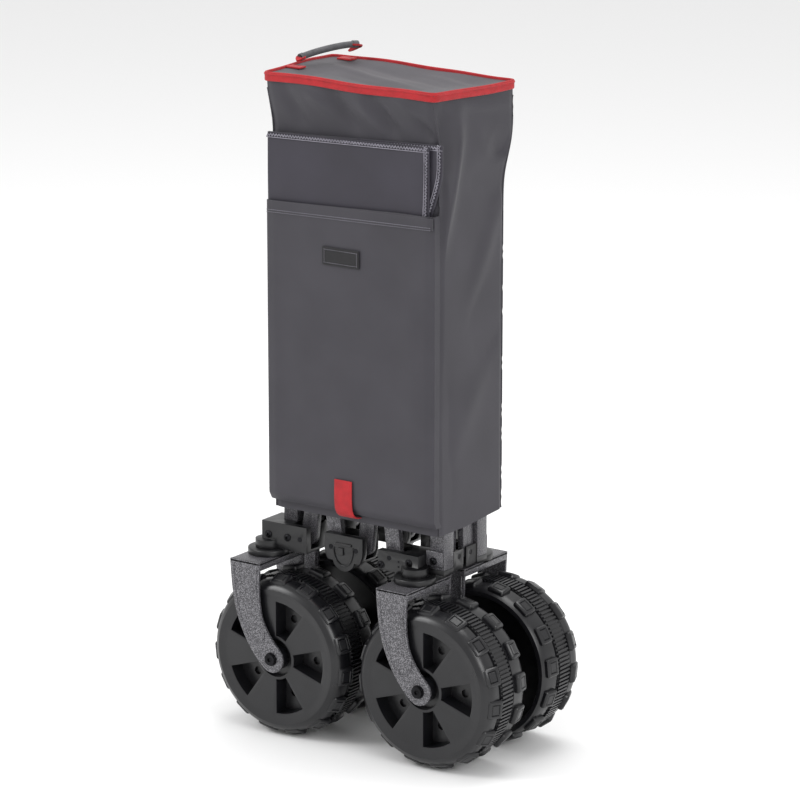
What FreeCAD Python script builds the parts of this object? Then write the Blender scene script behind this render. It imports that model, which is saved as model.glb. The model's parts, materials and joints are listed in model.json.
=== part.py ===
import FreeCAD, Part
import math
import os
import re

import Sketcher

# Folding all-terrain wagon, folded and standing on its wheels inside a slip-over cover.
# Millimetres. +X points to the wagon's rear, +Y to its far side and +Z up. The origin is on the ground
# under the middle of the folded wagon.

os.makedirs("parts", exist_ok=True)
doc = FreeCAD.newDocument("FoldingWagon")

SIZES = {
    # wheels and their forks
    "wheel_radius": 100, "tread_radius": 94, "wheel_width": 80, "wheel_face_inset": 2,
    "half_wheelbase": 106.5, "half_track": 60,
    "hub_radius": 15, "hub_half_length": 42.7, "dish_floor": 22, "dish_radius": 84,
    "window_count": 5, "window_depth": 13, "window_inner_radius": 27, "window_outer_radius": 68,
    "window_inner_width": 14, "window_outer_width": 46,
    "lug_count": 15, "lug_length": 20, "lug_wide": 19,
    "axle_radius": 5, "axle_clearance": 0.05, "axle_head_radius": 7, "axle_head_height": 4,
    "fork_inner_half": 43, "fork_plate": 3, "fork_back": 60, "fork_front": 16,
    "fork_end_radius": 17, "crown_top": 216, "crown_plate": 4, "crown_flange_drop": 10,
    "swivel_offset": 36.5, "swivel_pin_radius": 6, "swivel_head_radius": 10, "swivel_head_height": 3,
    "bearing_radius": 25, "bearing_height": 7.7, "swivel_gap": 0.3, "boss_radius": 16,
    "boss_height": 10, "bolt_reach": 8,
    # folded frame
    "post_front": -121, "post_rear": 91, "post_depth": 35, "post_side": 20, "post_wall": 1.5,
    "post_bottom": 230, "post_top": 700, "cap_height": 6, "fit_gap": 0.2,
    "bar_width": 20, "bar_thickness": 8, "bar_gap": 1, "bar_low": 240, "bar_high": 668,
    "side_layer": 46, "left_low": -94, "left_high": -48, "right_low": -12, "right_high": 36,
    "end_pivot": 12, "rivet_radius": 3, "hole_clearance": 0.1,
    "bracket_bottom": 224, "bracket_top": 256, "bracket_face": 64, "bracket_back": 24,
    "front_bracket_start": -150, "front_bracket_end": -84, "rear_bracket_start": 20,
    "rear_bracket_end": 101, "rear_bracket_top": 248, "centre_bracket_start": -58,
    "centre_bracket_end": -2, "tongue_drop": 12, "slider_bottom": 655, "slider_top": 681,
    "slider_face": 58, "ear_inner": 3, "ear_plate": 2.7, "end_pin_reach": 11, "end_cross_reach": 9.5,
    "clip_thickness": 3, "screw_radius": 4, "screw_height": 2.5,
    "end_front": -98.5, "end_rear": 88.5,
    # pull handle
    "handle_place": -121, "handle_low": 250, "yoke_back": 14, "yoke_front": 10.7, "yoke_drop": 22,
    "yoke_rise": 12, "handle_foot_rise": 14, "handle_outer_radius": 11, "handle_wall": 1.5,
    "handle_outer_top": 690, "handle_inner_radius": 9.4, "grip_bottom": 708, "grip_top": 760,
    "grip_half": 44, "grip_thick": 22, "grip_bar": 15,
    # folded tub
    "tub_bottom": 300, "tub_top": 652, "tub_half": 30,
    # slip-over cover
    "cover_front": -142, "cover_rear": 105, "cover_near": -62, "cover_far": 74, "cover_out": -74,
    "cover_wall": 3, "hem": 276, "step_start": 744, "step_end": 754, "lid_bottom": 796,
    "lid_thickness": 4, "piping_low": 792, "piping_high": 802, "piping_width": 4,
    "pocket_bottom": 287, "pocket_top": 655, "pocket_wall": 2, "mat_clearance": 0.3,
    "mat_bottom": 300, "mat_top": 740, "mat_front": -134, "mat_rear": 98, "mat_wing": 109,
    "label_start": -50, "label_end": 2, "label_low": 584, "label_high": 605.5, "trim_thickness": 1,
    "tab_start": -34, "tab_end": -9, "tab_top": 328,
    "strap_radius": 4.5, "strap_root": 807, "strap_rise": 12, "strap_lean": 17, "strap_start": -20, "strap_end": 68,
    "strap_start_x": -126, "strap_end_x": -115, "anchor_half": 12, "anchor_gap": 0.3,
}

sheet = doc.addObject("Spreadsheet::Sheet", "Sizes")
for row, (alias, number) in enumerate(SIZES.items(), start=1):
    sheet.set(f"A{row}", alias)
    sheet.set(f"B{row}", str(number))
    sheet.setAlias(f"B{row}", alias)
doc.recompute()

NEAR, FAR = -1, 1
SIDES = {"near": NEAR, "far": FAR}
PATHS = {"x": "Placement.Base.x", "y": "Placement.Base.y", "z": "Placement.Base.z"}
nodes = []


def size(alias):
    """The number in the sheet's cell of that alias."""
    return float(sheet.get(alias))


def in_sheet(word):
    """A word of a formula as the sheet's cell when it is one of its aliases."""
    return "Sizes." + word[0] if word[0] in SIZES else word[0]


def bind(item, **formulas):
    """Tie properties of an object to formulas in the sheet's aliases; x, y and z are its place."""
    for name, formula in formulas.items():
        linked = re.sub(r"[a-z_]{4,}", in_sheet, formula)
        item.setExpression(PATHS.get(name, name), linked)
    return item


def node(item, label):
    """Name a finished sub-part after its file."""
    item.Label = label
    nodes.append(item)
    return item


def span(side, low, high):
    """The Y range of a piece that lies between two distances from the middle plane, on one side."""
    return (low, high) if side == FAR else (f"-({high})", f"-({low})")


def box(name, x, y, z):
    """A block between pairs of formulas along X, Y and Z."""
    item = doc.addObject("Part::Box", name)
    lengths = [f"({high}) - ({low})" for low, high in (x, y, z)]
    return bind(item, Length=lengths[0], Width=lengths[1], Height=lengths[2], x=x[0], y=y[0], z=z[0])


def rod(name, direction, radius, start, length):
    """A cylinder that runs along +X, +Y or +Z from its start, three formulas."""
    item = doc.addObject("Part::Cylinder", name)
    turns = {
        "X": FreeCAD.Rotation(FreeCAD.Vector(0, 1, 0), 90),
        "Y": FreeCAD.Rotation(FreeCAD.Vector(1, 0, 0), -90),
        "Z": FreeCAD.Rotation(),
    }
    item.Placement.Rotation = turns[direction]
    return bind(item, Radius=radius, Height=length, x=start[0], y=start[1], z=start[2])


def fuse(name, pieces):
    """One solid from several that touch or overlap; a single piece stays as it is."""
    if len(pieces) == 1:
        return pieces[0]
    item = doc.addObject("Part::MultiFuse", name)
    item.Shapes = pieces
    item.Refine = True
    return item


def cut(name, base, tools):
    """A solid with one or more tools taken out of it."""
    item = doc.addObject("Part::Cut", name)
    item.Base = base
    item.Tool = fuse(name + "_tools", tools)
    item.Refine = True
    return item


def group(name, pieces):
    """Separate solids that share one node."""
    item = doc.addObject("Part::Compound", name)
    item.Links = pieces
    return item


def origin_plane(body, role):
    """One of a body's own origin planes, by its role."""
    return next(plane for plane in body.Origin.OriginFeatures if plane.Role == role)


def sketch_on(body, name, role, height="0"):
    """A sketch on one of the body's own origin planes, lifted along its normal by a formula."""
    sketch = body.newObject("Sketcher::SketchObject", name)
    sketch.AttachmentSupport = [(origin_plane(body, role), "")]
    sketch.MapMode = "FlatFace"
    bind(sketch, **{"AttachmentOffset.Base.z": height})
    return sketch


def vector(x, y, z=0):
    """A point or direction in millimetres."""
    return FreeCAD.Vector(x, y, z)


def outline(sketch, points):
    """A closed outline of straight runs through points given in the sketch's own plane."""
    count = len(points)
    for number in range(count):
        start, end = vector(*points[number]), vector(*points[(number + 1) % count])
        sketch.addGeometry(Part.LineSegment(start, end))
    for number in range(count):
        sketch.addConstraint(Sketcher.Constraint("Coincident", number, 2, (number + 1) % count, 1))


# ---------------------------------------------------------------- wheels

def wheel(label, end, side):
    """A moulded wheel: sunk windows in its outboard face, an open dish inboard, staggered lugs."""
    body = doc.addObject("PartDesign::Body", label + "_body")
    half = size("wheel_width") / 2
    face = half - size("wheel_face_inset")
    tread, hub = size("tread_radius"), size("hub_radius")
    bore = size("axle_radius") + size("axle_clearance")
    long_hub = size("hub_half_length")
    section = sketch_on(body, label + "_section", "XZ_Plane")
    dish, floor = size("dish_radius"), size("dish_floor")
    outline(section, [(bore, -long_hub), (hub, -long_hub), (hub, floor), (dish, floor), (dish, -half),
                      (tread - 3, -half), (tread, -half + 9), (tread, half - 9), (tread - 3, half - 1),
                      (tread - 8, half), (tread - 12, face), (hub + 6, face), (hub, long_hub),
                      (bore, long_hub)])
    turned = body.newObject("PartDesign::Revolution", label + "_turned")
    turned.Profile = section
    turned.ReferenceAxis = (section, ["V_Axis"])
    turned.Angle = 360

    inner, outer = size("window_inner_radius"), size("window_outer_radius")
    narrow, broad = size("window_inner_width") / 2, size("window_outer_width") / 2
    window_shape = [(inner, -narrow), (outer - 6, -broad), (outer, -broad + 8), (outer, broad - 8),
                    (outer - 6, broad), (inner, narrow)]
    lug_shape = [(tread - 4, -1), (tread - 4, 1), (size("wheel_radius"), 1), (size("wheel_radius"), -1)]
    lug_half = size("lug_wide") / 2
    lug_shape = [(across, along * lug_half) for across, along in lug_shape]
    window = sketch_on(body, label + "_window", "XY_Plane", "wheel_width / 2 - wheel_face_inset")
    outline(window, window_shape)
    pocket = body.newObject("PartDesign::Pocket", label + "_pocket")
    pocket.Profile = window
    bind(pocket, Length="window_depth")
    ring(body, label + "_windows", pocket, window, "window_count")
    for number, sign in enumerate((1, -1)):
        foot = "wheel_width / 2 - 2 - lug_length" if sign > 0 else "2 - wheel_width / 2"
        lug = sketch_on(body, f"{label}_lug_{number}", "XY_Plane", foot)
        outline(lug, lug_shape)
        half_pitch = math.pi / size("lug_count") * number
        lug.AttachmentOffset.Rotation = FreeCAD.Rotation(vector(0, 0, 1), math.degrees(half_pitch))
        pad = body.newObject("PartDesign::Pad", f"{label}_lug_pad_{number}")
        pad.Profile = lug
        bind(pad, Length="lug_length")
        ring(body, f"{label}_lugs_{number}", pad, lug, "lug_count")
    body.Placement.Rotation = FreeCAD.Rotation(vector(1, 0, 0), -90 * side)
    bind(body, x=f"{end} * half_wheelbase", y=f"{side} * half_track", z="wheel_radius")
    return node(body, label)


def ring(body, name, feature, sketch, count):
    """Repeat a feature around the body's own Z axis."""
    pattern = body.newObject("PartDesign::PolarPattern", name)
    pattern.Originals = [feature]
    pattern.Axis = (sketch, ["N_Axis"])
    pattern.Angle = 360
    bind(pattern, Occurrences=count)
    body.Tip = pattern
    return pattern


# ---------------------------------------------------------------- forks, swivels and axles

def fork_leg(name, low):
    """One curved side plate of a fork, its inner face at a Y formula, drawn about the axle."""
    body = doc.addObject("PartDesign::Body", name)
    sketch = sketch_on(body, name + "_outline", "XZ_Plane")
    back, front, end = -size("fork_back"), -size("fork_front"), size("fork_end_radius")
    axle, top = size("wheel_radius"), size("crown_top")
    waist = (axle + top) / 2 + 12
    left_foot, right_foot = vector(-end * 0.92, axle - end * 0.39), vector(end, axle + 3)
    top_left, top_right = vector(back, top), vector(front, top)
    runs = [
        Part.LineSegment(top_left, top_right),
        Part.Arc(top_right, vector(front + 5, waist), right_foot),
        Part.Arc(right_foot, vector(end * 0.42, axle - end * 0.91), left_foot),
        Part.Arc(left_foot, vector(back + 8, waist), top_left),
    ]
    for run in runs:
        sketch.addGeometry(run)
    pad = body.newObject("PartDesign::Pad", name + "_pad")
    pad.Profile = sketch
    pad.Reversed = True
    bind(pad, Length="fork_plate")
    bind(body, y=low)
    return body


def fork(label, end, side):
    """A pressed steel fork: two legs, a crown and its turned-down lip, with axle and swivel holes."""
    near_leg = fork_leg(label + "_near_leg", "-fork_inner_half - fork_plate")
    far_leg = fork_leg(label + "_far_leg", "fork_inner_half")
    across = ("-fork_inner_half - fork_plate", "fork_inner_half + fork_plate")
    crown = box(label + "_crown", ("-fork_back", "-fork_front"), across, ("crown_top - crown_plate", "crown_top"))
    lip = box(label + "_lip", ("-fork_front - fork_plate", "-fork_front"), across,
              ("crown_top - crown_flange_drop", "crown_top"))
    hole = rod(label + "_swivel_hole", "Z", "swivel_pin_radius + axle_clearance",
               ("-swivel_offset", "0", "crown_top - 2 * crown_plate"), "3 * crown_plate")
    hole_start = ("0", "-fork_inner_half - 2 * fork_plate", "wheel_radius")
    axle_hole = rod(label + "_axle_hole", "Y", "axle_radius", hole_start, "2 * fork_inner_half + 4 * fork_plate")
    item = cut(label + "_fork", fuse(label + "_blank", [near_leg, far_leg, crown, lip]), [hole, axle_hole])
    bind(item, x=f"{end} * half_wheelbase", y=f"{side} * half_track")
    return node(item, label)


def axle_bolt(label, end, side):
    """A shoulder bolt through wheel and fork, with a button head outboard and a nut inboard."""
    reach = "fork_inner_half + fork_plate"
    shank = rod(label + "_shank", "Y", "axle_radius", ("0", f"-({reach})", "0"), f"2 * ({reach})")
    head_foot = f"-({reach}) - axle_head_height" if side == NEAR else reach
    nut_foot = reach if side == NEAR else f"-({reach}) - axle_head_height"
    head = rod(label + "_head", "Y", "axle_head_radius", ("0", head_foot, "0"), "axle_head_height")
    socket_foot = f"{head_foot} - 1" if side == NEAR else f"{head_foot} + axle_head_height / 2"
    socket = doc.addObject("Part::Prism", label + "_socket")
    socket.Polygon = 6
    socket.Placement.Rotation = FreeCAD.Rotation(vector(1, 0, 0), -90)
    bind(socket, Circumradius="axle_radius / 2", Height="axle_head_height / 2 + 1", y=socket_foot)
    nut = doc.addObject("Part::Prism", label + "_nut")
    nut.Polygon = 6
    nut.Placement.Rotation = FreeCAD.Rotation(vector(1, 0, 0), -90)
    bind(nut, Circumradius="axle_head_radius + 1", Height="axle_head_height", y=nut_foot)
    item = cut(label + "_bolt", fuse(label + "_blank", [shank, head, nut]), [socket])
    return bind(item, x=f"{end} * half_wheelbase", y=f"{side} * half_track", z="wheel_radius")


def swivel_bearing(label, end, side):
    """The round bearing between a fork's crown and its bracket."""
    centre = (f"{end} * half_wheelbase - swivel_offset", f"{side} * half_track", "crown_top")
    disc = rod(label + "_disc", "Z", "bearing_radius", centre, "bearing_height")
    bore = rod(label + "_bore", "Z", "swivel_pin_radius + axle_clearance",
               (centre[0], centre[1], "crown_top - 1"), "bearing_height + 2")
    return cut(label + "_ring", disc, [bore])


def swivel_bolt(label, end, side):
    """The upright bolt that a fork turns on, headed under the crown."""
    across = (f"{end} * half_wheelbase - swivel_offset", f"{side} * half_track")
    head_foot = "crown_top - crown_plate - swivel_gap - swivel_head_height"
    head = rod(label + "_head", "Z", "swivel_head_radius", (*across, head_foot), "swivel_head_height")
    length = f"bracket_bottom + bolt_reach - ({head_foot})"
    shank = rod(label + "_shank", "Z", "swivel_pin_radius", (*across, head_foot), length)
    return fuse(label + "_bolt", [head, shank])


# ---------------------------------------------------------------- folded frame

def post(label, place, side):
    """A square steel tube, upright at a corner of the folded frame."""
    depth = f"{side} * post_depth"
    around = [(f"{place} - post_side / 2", f"{place} + post_side / 2"),
              (f"{depth} - post_side / 2", f"{depth} + post_side / 2")]
    inside = [(f"{low} + post_wall", f"{high} - post_wall") for low, high in around]
    tube = box(label + "_outside", *around, ("post_bottom", "post_top"))
    bore = box(label + "_inside", *inside, ("post_bottom - 1", "post_top + 1"))
    return node(cut(label + "_tube", tube, [bore]), label)


def post_cap(name, place, side):
    """The plug on top of a post."""
    depth = f"{side} * post_depth"
    return box(name, (f"{place} - post_side / 2", f"{place} + post_side / 2"),
               (f"{depth} - post_side / 2", f"{depth} + post_side / 2"), ("post_top", "post_top + cap_height"))


def post_room(name, place, side, low, high):
    """The square passage that a post needs through a bracket or slider."""
    depth = f"{side} * post_depth"
    reach = "(post_side / 2 + fit_gap)"
    return box(name, (f"{place} - {reach}", f"{place} + {reach}"), (f"{depth} - {reach}", f"{depth} + {reach}"),
               (low, high))


def side_slot(name, x, side, low, high):
    """The gap between a bracket's cheeks that takes the ends of two side bars."""
    inner = "side_layer - bar_thickness - bar_gap / 2 - fit_gap"
    outer = "side_layer + bar_thickness + bar_gap / 2 + fit_gap"
    return box(name, x, span(side, inner, outer), (low, high))


def end_slot(name, place, side, low, high):
    """The gap between an ear's cheeks that takes the ends of two end bars."""
    reach = "(bar_thickness + bar_gap / 2 + fit_gap)"
    return box(name, (f"{place} - {reach}", f"{place} + {reach}"), span(side, "ear_inner - 1", "bracket_back + 1"),
               (low, high))


def ear(name, place, side, root, low, high):
    """A pair of cheeks that reaches from a bracket towards the middle plane."""
    reach = "(bar_thickness + bar_gap / 2 + fit_gap + ear_plate)"
    return box(name, (f"{place} - {reach}", f"{place} + {reach}"), span(side, "ear_inner", root), (low, high))


def boss(name, end, side):
    """The round boss under a bracket that a fork's bearing turns against."""
    foot = (f"{end} * half_wheelbase - swivel_offset", f"{side} * half_track", "bracket_bottom")
    return rod(name, "Z", "boss_radius", foot, "boss_height")


def bolt_room(name, end, side):
    """The blind hole in a boss for a fork's swivel bolt."""
    foot = (f"{end} * half_wheelbase - swivel_offset", f"{side} * half_track", "bracket_bottom - 1")
    return rod(name, "Z", "swivel_pin_radius", foot, "bolt_reach + 1")


def pivot_hole(name, x, side, z):
    """A rivet's hole across a near or far bracket."""
    start = (x, span(side, "bracket_back", "bracket_face + 1")[0], z)
    return rod(name, "Y", "rivet_radius + hole_clearance", start, "bracket_face + 1 - bracket_back")


def end_hole(name, place, side, z):
    """A rivet's hole along X through an ear."""
    start = (f"{place} - end_pin_reach - 3", f"{side} * end_pivot", z)
    return rod(name, "X", "rivet_radius + hole_clearance", start, "2 * end_pin_reach + 6")


def corner_bracket(label, side, rear):
    """The moulded corner that holds a post, a fork's swivel and the lower ends of the folding bars."""
    end, place, end_place = (1, "post_rear", "end_rear") if rear else (-1, "post_front", "end_front")
    top = "rear_bracket_top" if rear else "bracket_top"
    if rear:
        face = box(label + "_face", ("rear_bracket_start", "post_rear - post_side + 6"),
                   span(side, "bracket_back", "bracket_face"), ("bracket_bottom", top))
        seat = box(label + "_seat", ("post_rear - post_side", "rear_bracket_end"),
                   span(side, "bracket_back", "post_depth + post_side / 2"), ("bracket_bottom", top))
        bar_x, slot_x = "right_high", ("rear_bracket_start - 1", "right_high + bar_width / 2 + 5")
        blocks = [face, seat]
    else:
        face = box(label + "_face", ("front_bracket_start", "front_bracket_end"),
                   span(side, "bracket_back", "bracket_face"), ("bracket_bottom", top))
        bar_x, slot_x = "left_low", ("post_front + post_side / 2 + 1", "front_bracket_end + 1")
        blocks = [face]
    blocks.append(ear(label + "_ear", end_place, side, "bracket_back", "bracket_bottom", top))
    blocks.append(boss(label + "_boss", end, side))
    rooms = [
        post_room(label + "_socket", place, side, "post_bottom", f"{top} + 1"),
        side_slot(label + "_slot", slot_x, side, "bracket_bottom + 4", f"{top} + 1"),
        end_slot(label + "_ear_slot", end_place, side, "bracket_bottom + 4", f"{top} + 1"),
        bolt_room(label + "_bolt_room", end, side),
        pivot_hole(label + "_pivot", bar_x, side, "bar_low"),
        end_hole(label + "_ear_pivot", end_place, side, "bar_low"),
    ]
    return node(cut(label + "_bracket", fuse(label + "_blank", blocks), rooms), label)


def centre_bracket(label, side, low, high, face, tongue):
    """The yoke between two pairs of side bars, open upwards at the bottom or downwards at the top."""
    x = ("centre_bracket_start", "centre_bracket_end")
    blocks = [box(label + "_block", x, span(side, "tub_half + 1", face), (low, high))]
    if tongue:
        middle = "(centre_bracket_start + centre_bracket_end) / 2"
        tip_start = (middle, span(side, "side_layer", face)[0], f"{low} + 4")
        blocks.append(rod(label + "_tongue", "Y", "tongue_drop + 4", tip_start, f"{face} - side_layer"))
    floor = f"{low} + 4" if tongue else f"{low} - 1"
    ceiling = f"{high} + 1" if tongue else f"{high} - 4"
    height = "bar_low" if tongue else "bar_high"
    rooms = [side_slot(label + "_slot", ("centre_bracket_start - 1", "centre_bracket_end + 1"), side, floor, ceiling),
             pivot_hole(label + "_front_pivot", "left_high", side, height),
             pivot_hole(label + "_rear_pivot", "right_low", side, height)]
    return node(cut(label + "_yoke", fuse(label + "_blank", blocks), rooms), label)


def slider(label, side, rear):
    """The moulded runner that carries the upper ends of the folding bars along a post."""
    place, end_place, bar_x = (("post_rear", "end_rear", "right_high") if rear
                               else ("post_front", "end_front", "left_low"))
    x = ("right_high - bar_width / 2 - 2", "post_rear + post_side / 2 - 1") if rear else \
        ("post_front - post_side / 2 - 4", "left_low + bar_width / 2 + 2")
    slot_x = ("right_high - bar_width / 2 - 3", "post_rear - post_side / 2 - 2") if rear else \
        ("post_front + post_side / 2 + 1", "left_low + bar_width / 2 + 3")
    height = ("slider_bottom", "slider_top")
    blocks = [box(label + "_block", x, span(side, "bracket_back - 2", "slider_face"), height),
              ear(label + "_ear", end_place, side, "bracket_back", *height)]
    rooms = [post_room(label + "_passage", place, side, "slider_bottom - 1", "slider_top + 1"),
             side_slot(label + "_slot", slot_x, side, "slider_bottom - 1", "slider_top - 2"),
             end_slot(label + "_ear_slot", end_place, side, "slider_bottom - 1", "slider_top - 2"),
             pivot_hole(label + "_pivot", bar_x, side, "bar_high"),
             end_hole(label + "_ear_pivot", end_place, side, "bar_high")]
    return node(cut(label + "_runner", fuse(label + "_blank", blocks), rooms), label)


def bar(label, direction, foot, head, layer):
    """A flat folding bar with round ends; it leans along X or Y from its foot to its head."""
    rise = "(bar_high - bar_low)"
    run = f"(({head}) - ({foot}))"
    length = f"sqrt({rise} ^ 2 + {run} ^ 2)"
    half = "bar_width / 2"
    blank = [box(label + "_flat", (f"-({half})", half), ("0", "bar_thickness"), ("0", length)),
             rod(label + "_low_end", "Y", half, ("0", "0", "0"), "bar_thickness"),
             rod(label + "_high_end", "Y", half, ("0", "0", length), "bar_thickness")]
    heights = [f"{number} / 2 * {length}" for number in range(3)]
    holes = [rod(f"{label}_hole_{number}", "Y", "rivet_radius + hole_clearance", ("0", "-1", height),
                 "bar_thickness + 2") for number, height in enumerate(heights)]
    item = cut(label + "_bar", fuse(label + "_blank", blank), holes)
    if direction == "X":
        item.Placement.Rotation = FreeCAD.Rotation(vector(0, 1, 0), 1)
        bind(item, **{"Placement.Rotation.Angle": f"atan({run} / {rise})"}, x=foot, y=layer, z="bar_low")
        return node(item, label)
    item.Placement.Rotation = FreeCAD.Rotation(vector(0, 1, 0), 1)
    bind(item, **{"Placement.Rotation.Angle": f"atan({run} / {rise})"})
    turned = group(label + "_turned", [item])
    turned.Placement.Rotation = FreeCAD.Rotation(vector(0, 0, 1), 90)
    return bind(turned, x=f"{layer} + bar_thickness", y=foot, z="bar_low")


def rivets():
    """Every pin that the folding bars and the pull handle turn on, flush with the brackets."""
    pins = []
    middle = "(bar_low + bar_high) / 2"
    crossings = ["(left_low + left_high) / 2", "(right_low + right_high) / 2"]
    for name, side in SIDES.items():
        for number, x in enumerate(["left_low", "left_high", "right_low", "right_high"]):
            for level, height in (("low", "bar_low"), ("high", "bar_high")):
                face = "slider_face" if level == "high" else "bracket_face"
                y = span(side, "tub_half + 3", face)
                pins.append(rod(f"pin_{name}_{number}_{level}", "Y", "rivet_radius", (x, y[0], height),
                                f"{face} - tub_half - 3"))
        for number, x in enumerate(crossings):
            reach = "bar_thickness + bar_gap / 2 + 1"
            y = span(side, f"side_layer - ({reach})", f"side_layer + {reach}")
            pins.append(rod(f"pin_{name}_cross_{number}", "Y", "rivet_radius", (x, y[0], middle), f"2 * ({reach})"))
    for number, place in enumerate(["end_front", "end_rear"]):
        for name, side in SIDES.items():
            for height in ("bar_low", "bar_high"):
                start = (f"{place} - end_pin_reach", f"{side} * end_pivot", height)
                pins.append(rod(f"end_pin_{number}_{name}_{height}", "X", "rivet_radius", start, "2 * end_pin_reach"))
        start = (f"{place} - end_cross_reach", "0", middle)
        pins.append(rod(f"end_pin_{number}_cross", "X", "rivet_radius", start, "2 * end_cross_reach"))
    pins.append(rod("handle_pin", "Y", "rivet_radius", ("handle_place", "-bracket_back", "handle_low"),
                    "2 * bracket_back"))
    return node(group("rivets", pins), "frame_rivets")


def folding_bars():
    """The scissor bars: two crossed pairs along each long side and one pair across each end."""
    near_inner = "side_layer - bar_thickness - bar_gap / 2"
    near_outer = "side_layer + bar_gap / 2"
    for name, side in SIDES.items():
        inner = span(side, near_inner, near_inner + " + bar_thickness")
        outer = span(side, near_outer, near_outer + " + bar_thickness")
        bar(f"side_bar_{name}_front_inner", "X", "left_low", "left_high", inner[0])
        bar(f"side_bar_{name}_front_outer", "X", "left_high", "left_low", outer[0])
        bar(f"side_bar_{name}_rear_inner", "X", "right_low", "right_high", inner[0])
        bar(f"side_bar_{name}_rear_outer", "X", "right_high", "right_low", outer[0])
    for name, place in (("front", "end_front"), ("rear", "end_rear")):
        pair = [bar(f"end_bar_{name}_one", "Y", "-end_pivot", "end_pivot", f"{place} - bar_gap / 2 - bar_thickness"),
                bar(f"end_bar_{name}_two", "Y", "end_pivot", "-end_pivot", f"{place} + bar_gap / 2")]
        node(group(f"end_pair_{name}", pair), f"end_bars_{name}")


def post_clips():
    """The steel clips that close the rear sockets over their posts."""
    clips = []
    for name, side in SIDES.items():
        y = span(side, "post_depth + post_side / 2", "post_depth + post_side / 2 + clip_thickness")
        x = ("post_rear - post_side + 6 + fit_gap", "post_rear + post_side / 2 - 1")
        clips.append(box(f"clip_{name}", x, y, ("rear_bracket_top - 13", "rear_bracket_top + 5")))
    return node(group("clips", clips), "post_clips")


def bracket_screws():
    """Button-head screws on the outer faces of the lower brackets, and on the clips."""
    places = [
        ("front_bracket_start + 10", "bracket_face", "bar_low"),
        ("front_bracket_start + 38", "bracket_face", "bar_low"),
        ("rear_bracket_start + 4", "bracket_face", "bracket_bottom + 6"),
        ("rear_bracket_start + 44", "bracket_face", "bracket_bottom + boss_height + 4.5"),
        ("post_rear - 3", "post_depth + post_side / 2 + clip_thickness", "bar_low + 1"),
    ]
    screws = []
    for name, side in SIDES.items():
        for number, (x, face, z) in enumerate(places):
            y = span(side, face, face + " + screw_height")
            screws.append(rod(f"screw_{name}_{number}", "Y", "screw_radius", (x, y[0], z), "screw_height"))
    return node(group("screws", screws), "bracket_screws")


# ---------------------------------------------------------------- pull handle and folded tub

def pull_handle():
    """The telescopic pull handle, folded up at the front end: bracket, two tubes and a grip."""
    place = "handle_place"
    cheek = box("handle_block", (f"{place} - yoke_back", f"{place} + yoke_front"), ("-bracket_back", "bracket_back"),
                ("handle_low - yoke_drop", "handle_low + yoke_rise"))
    tube_room = ("-handle_outer_radius - fit_gap", "handle_outer_radius + fit_gap")
    room = box("handle_room", (f"{place} - yoke_back - 1", f"{place} + yoke_back"), tube_room,
               ("handle_low - yoke_drop + 6", "handle_low + yoke_rise + 1"))
    pin_hole = rod("handle_pin_hole", "Y", "rivet_radius + hole_clearance", (place, "-bracket_back", "handle_low"),
                   "2 * bracket_back")
    node(cut("handle_yoke", cheek, [room, pin_hole]), "handle_bracket")
    foot_half = "handle_outer_radius - 2"
    outer = fuse("handle_outer_blank", [
        rod("handle_tube", "Z", "handle_outer_radius", (place, "0", "handle_low + handle_foot_rise"),
            "handle_outer_top - handle_low - handle_foot_rise"),
        box("handle_foot", (f"{place} - ({foot_half})", f"{place} + {foot_half}"),
            ("-handle_outer_radius + 1", "handle_outer_radius - 1"),
            ("handle_low - 10", "handle_low + handle_foot_rise + 4"))])
    bore = rod("handle_bore", "Z", "handle_outer_radius - handle_wall", (place, "0", "handle_low + 22"),
               "handle_outer_top - handle_low")
    eye = rod("handle_eye_hole", "Y", "rivet_radius + hole_clearance", (place, "-20", "handle_low"), "40")
    node(cut("handle_outer", outer, [bore, eye]), "handle_outer_tube")
    inner = rod("handle_inner_rod", "Z", "handle_inner_radius", (place, "0", "handle_low + 40"),
                "grip_bottom - handle_low - 40")
    inner_bore = rod("handle_inner_bore", "Z", "handle_inner_radius - handle_wall", (place, "0", "handle_low + 39"),
                     "grip_bottom - handle_low - 38")
    node(cut("handle_inner", inner, [inner_bore]), "handle_inner_tube")
    thick = (f"{place} - grip_thick / 2", f"{place} + grip_thick / 2")
    blank = box("grip_blank", thick, ("-grip_half", "grip_half"), ("grip_bottom", "grip_top"))
    fingers = ("-grip_half + grip_bar", "grip_half - grip_bar")
    finger_room = box("grip_room", (f"{place} - grip_thick", f"{place} + grip_thick"), fingers,
                      ("grip_bottom + grip_bar", "grip_top - grip_bar"))
    node(cut("grip_loop", blank, [finger_room]), "handle_grip")


def tub_fabric():
    """The folded fabric tub, two stacks of pleats between the bars."""
    height = ("tub_bottom", "tub_top")
    half = ("-tub_half", "tub_half")
    front = box("tub_front", ("end_front + 12.5", "centre_bracket_start + 20"), half, height)
    rear = box("tub_rear", ("centre_bracket_end - 14", "end_rear - 12.5"), half, height)
    return node(group("tub", [front, rear]), "tub_fabric")


# ---------------------------------------------------------------- slip-over cover

def cover_prism(name, inset, low, high):
    """The cover's side profile, drawn in the YZ plane and padded from front to rear, less an inset."""
    body = doc.addObject("PartDesign::Body", name)
    sketch = sketch_on(body, name + "_profile", "YZ_Plane")
    near, far, out = size("cover_near") + inset, size("cover_far") - inset, size("cover_out") + inset
    start, end = size("step_start"), size("step_end")
    outline(sketch, [(far, low), (far, high), (out, high), (out, end), (near, start), (near, low)])
    pad = body.newObject("PartDesign::Pad", name + "_pad")
    pad.Profile = sketch
    bind(pad, Length=f"cover_rear - cover_front - {2 * inset}")
    bind(body, x=f"cover_front + {inset}")
    return body


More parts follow.
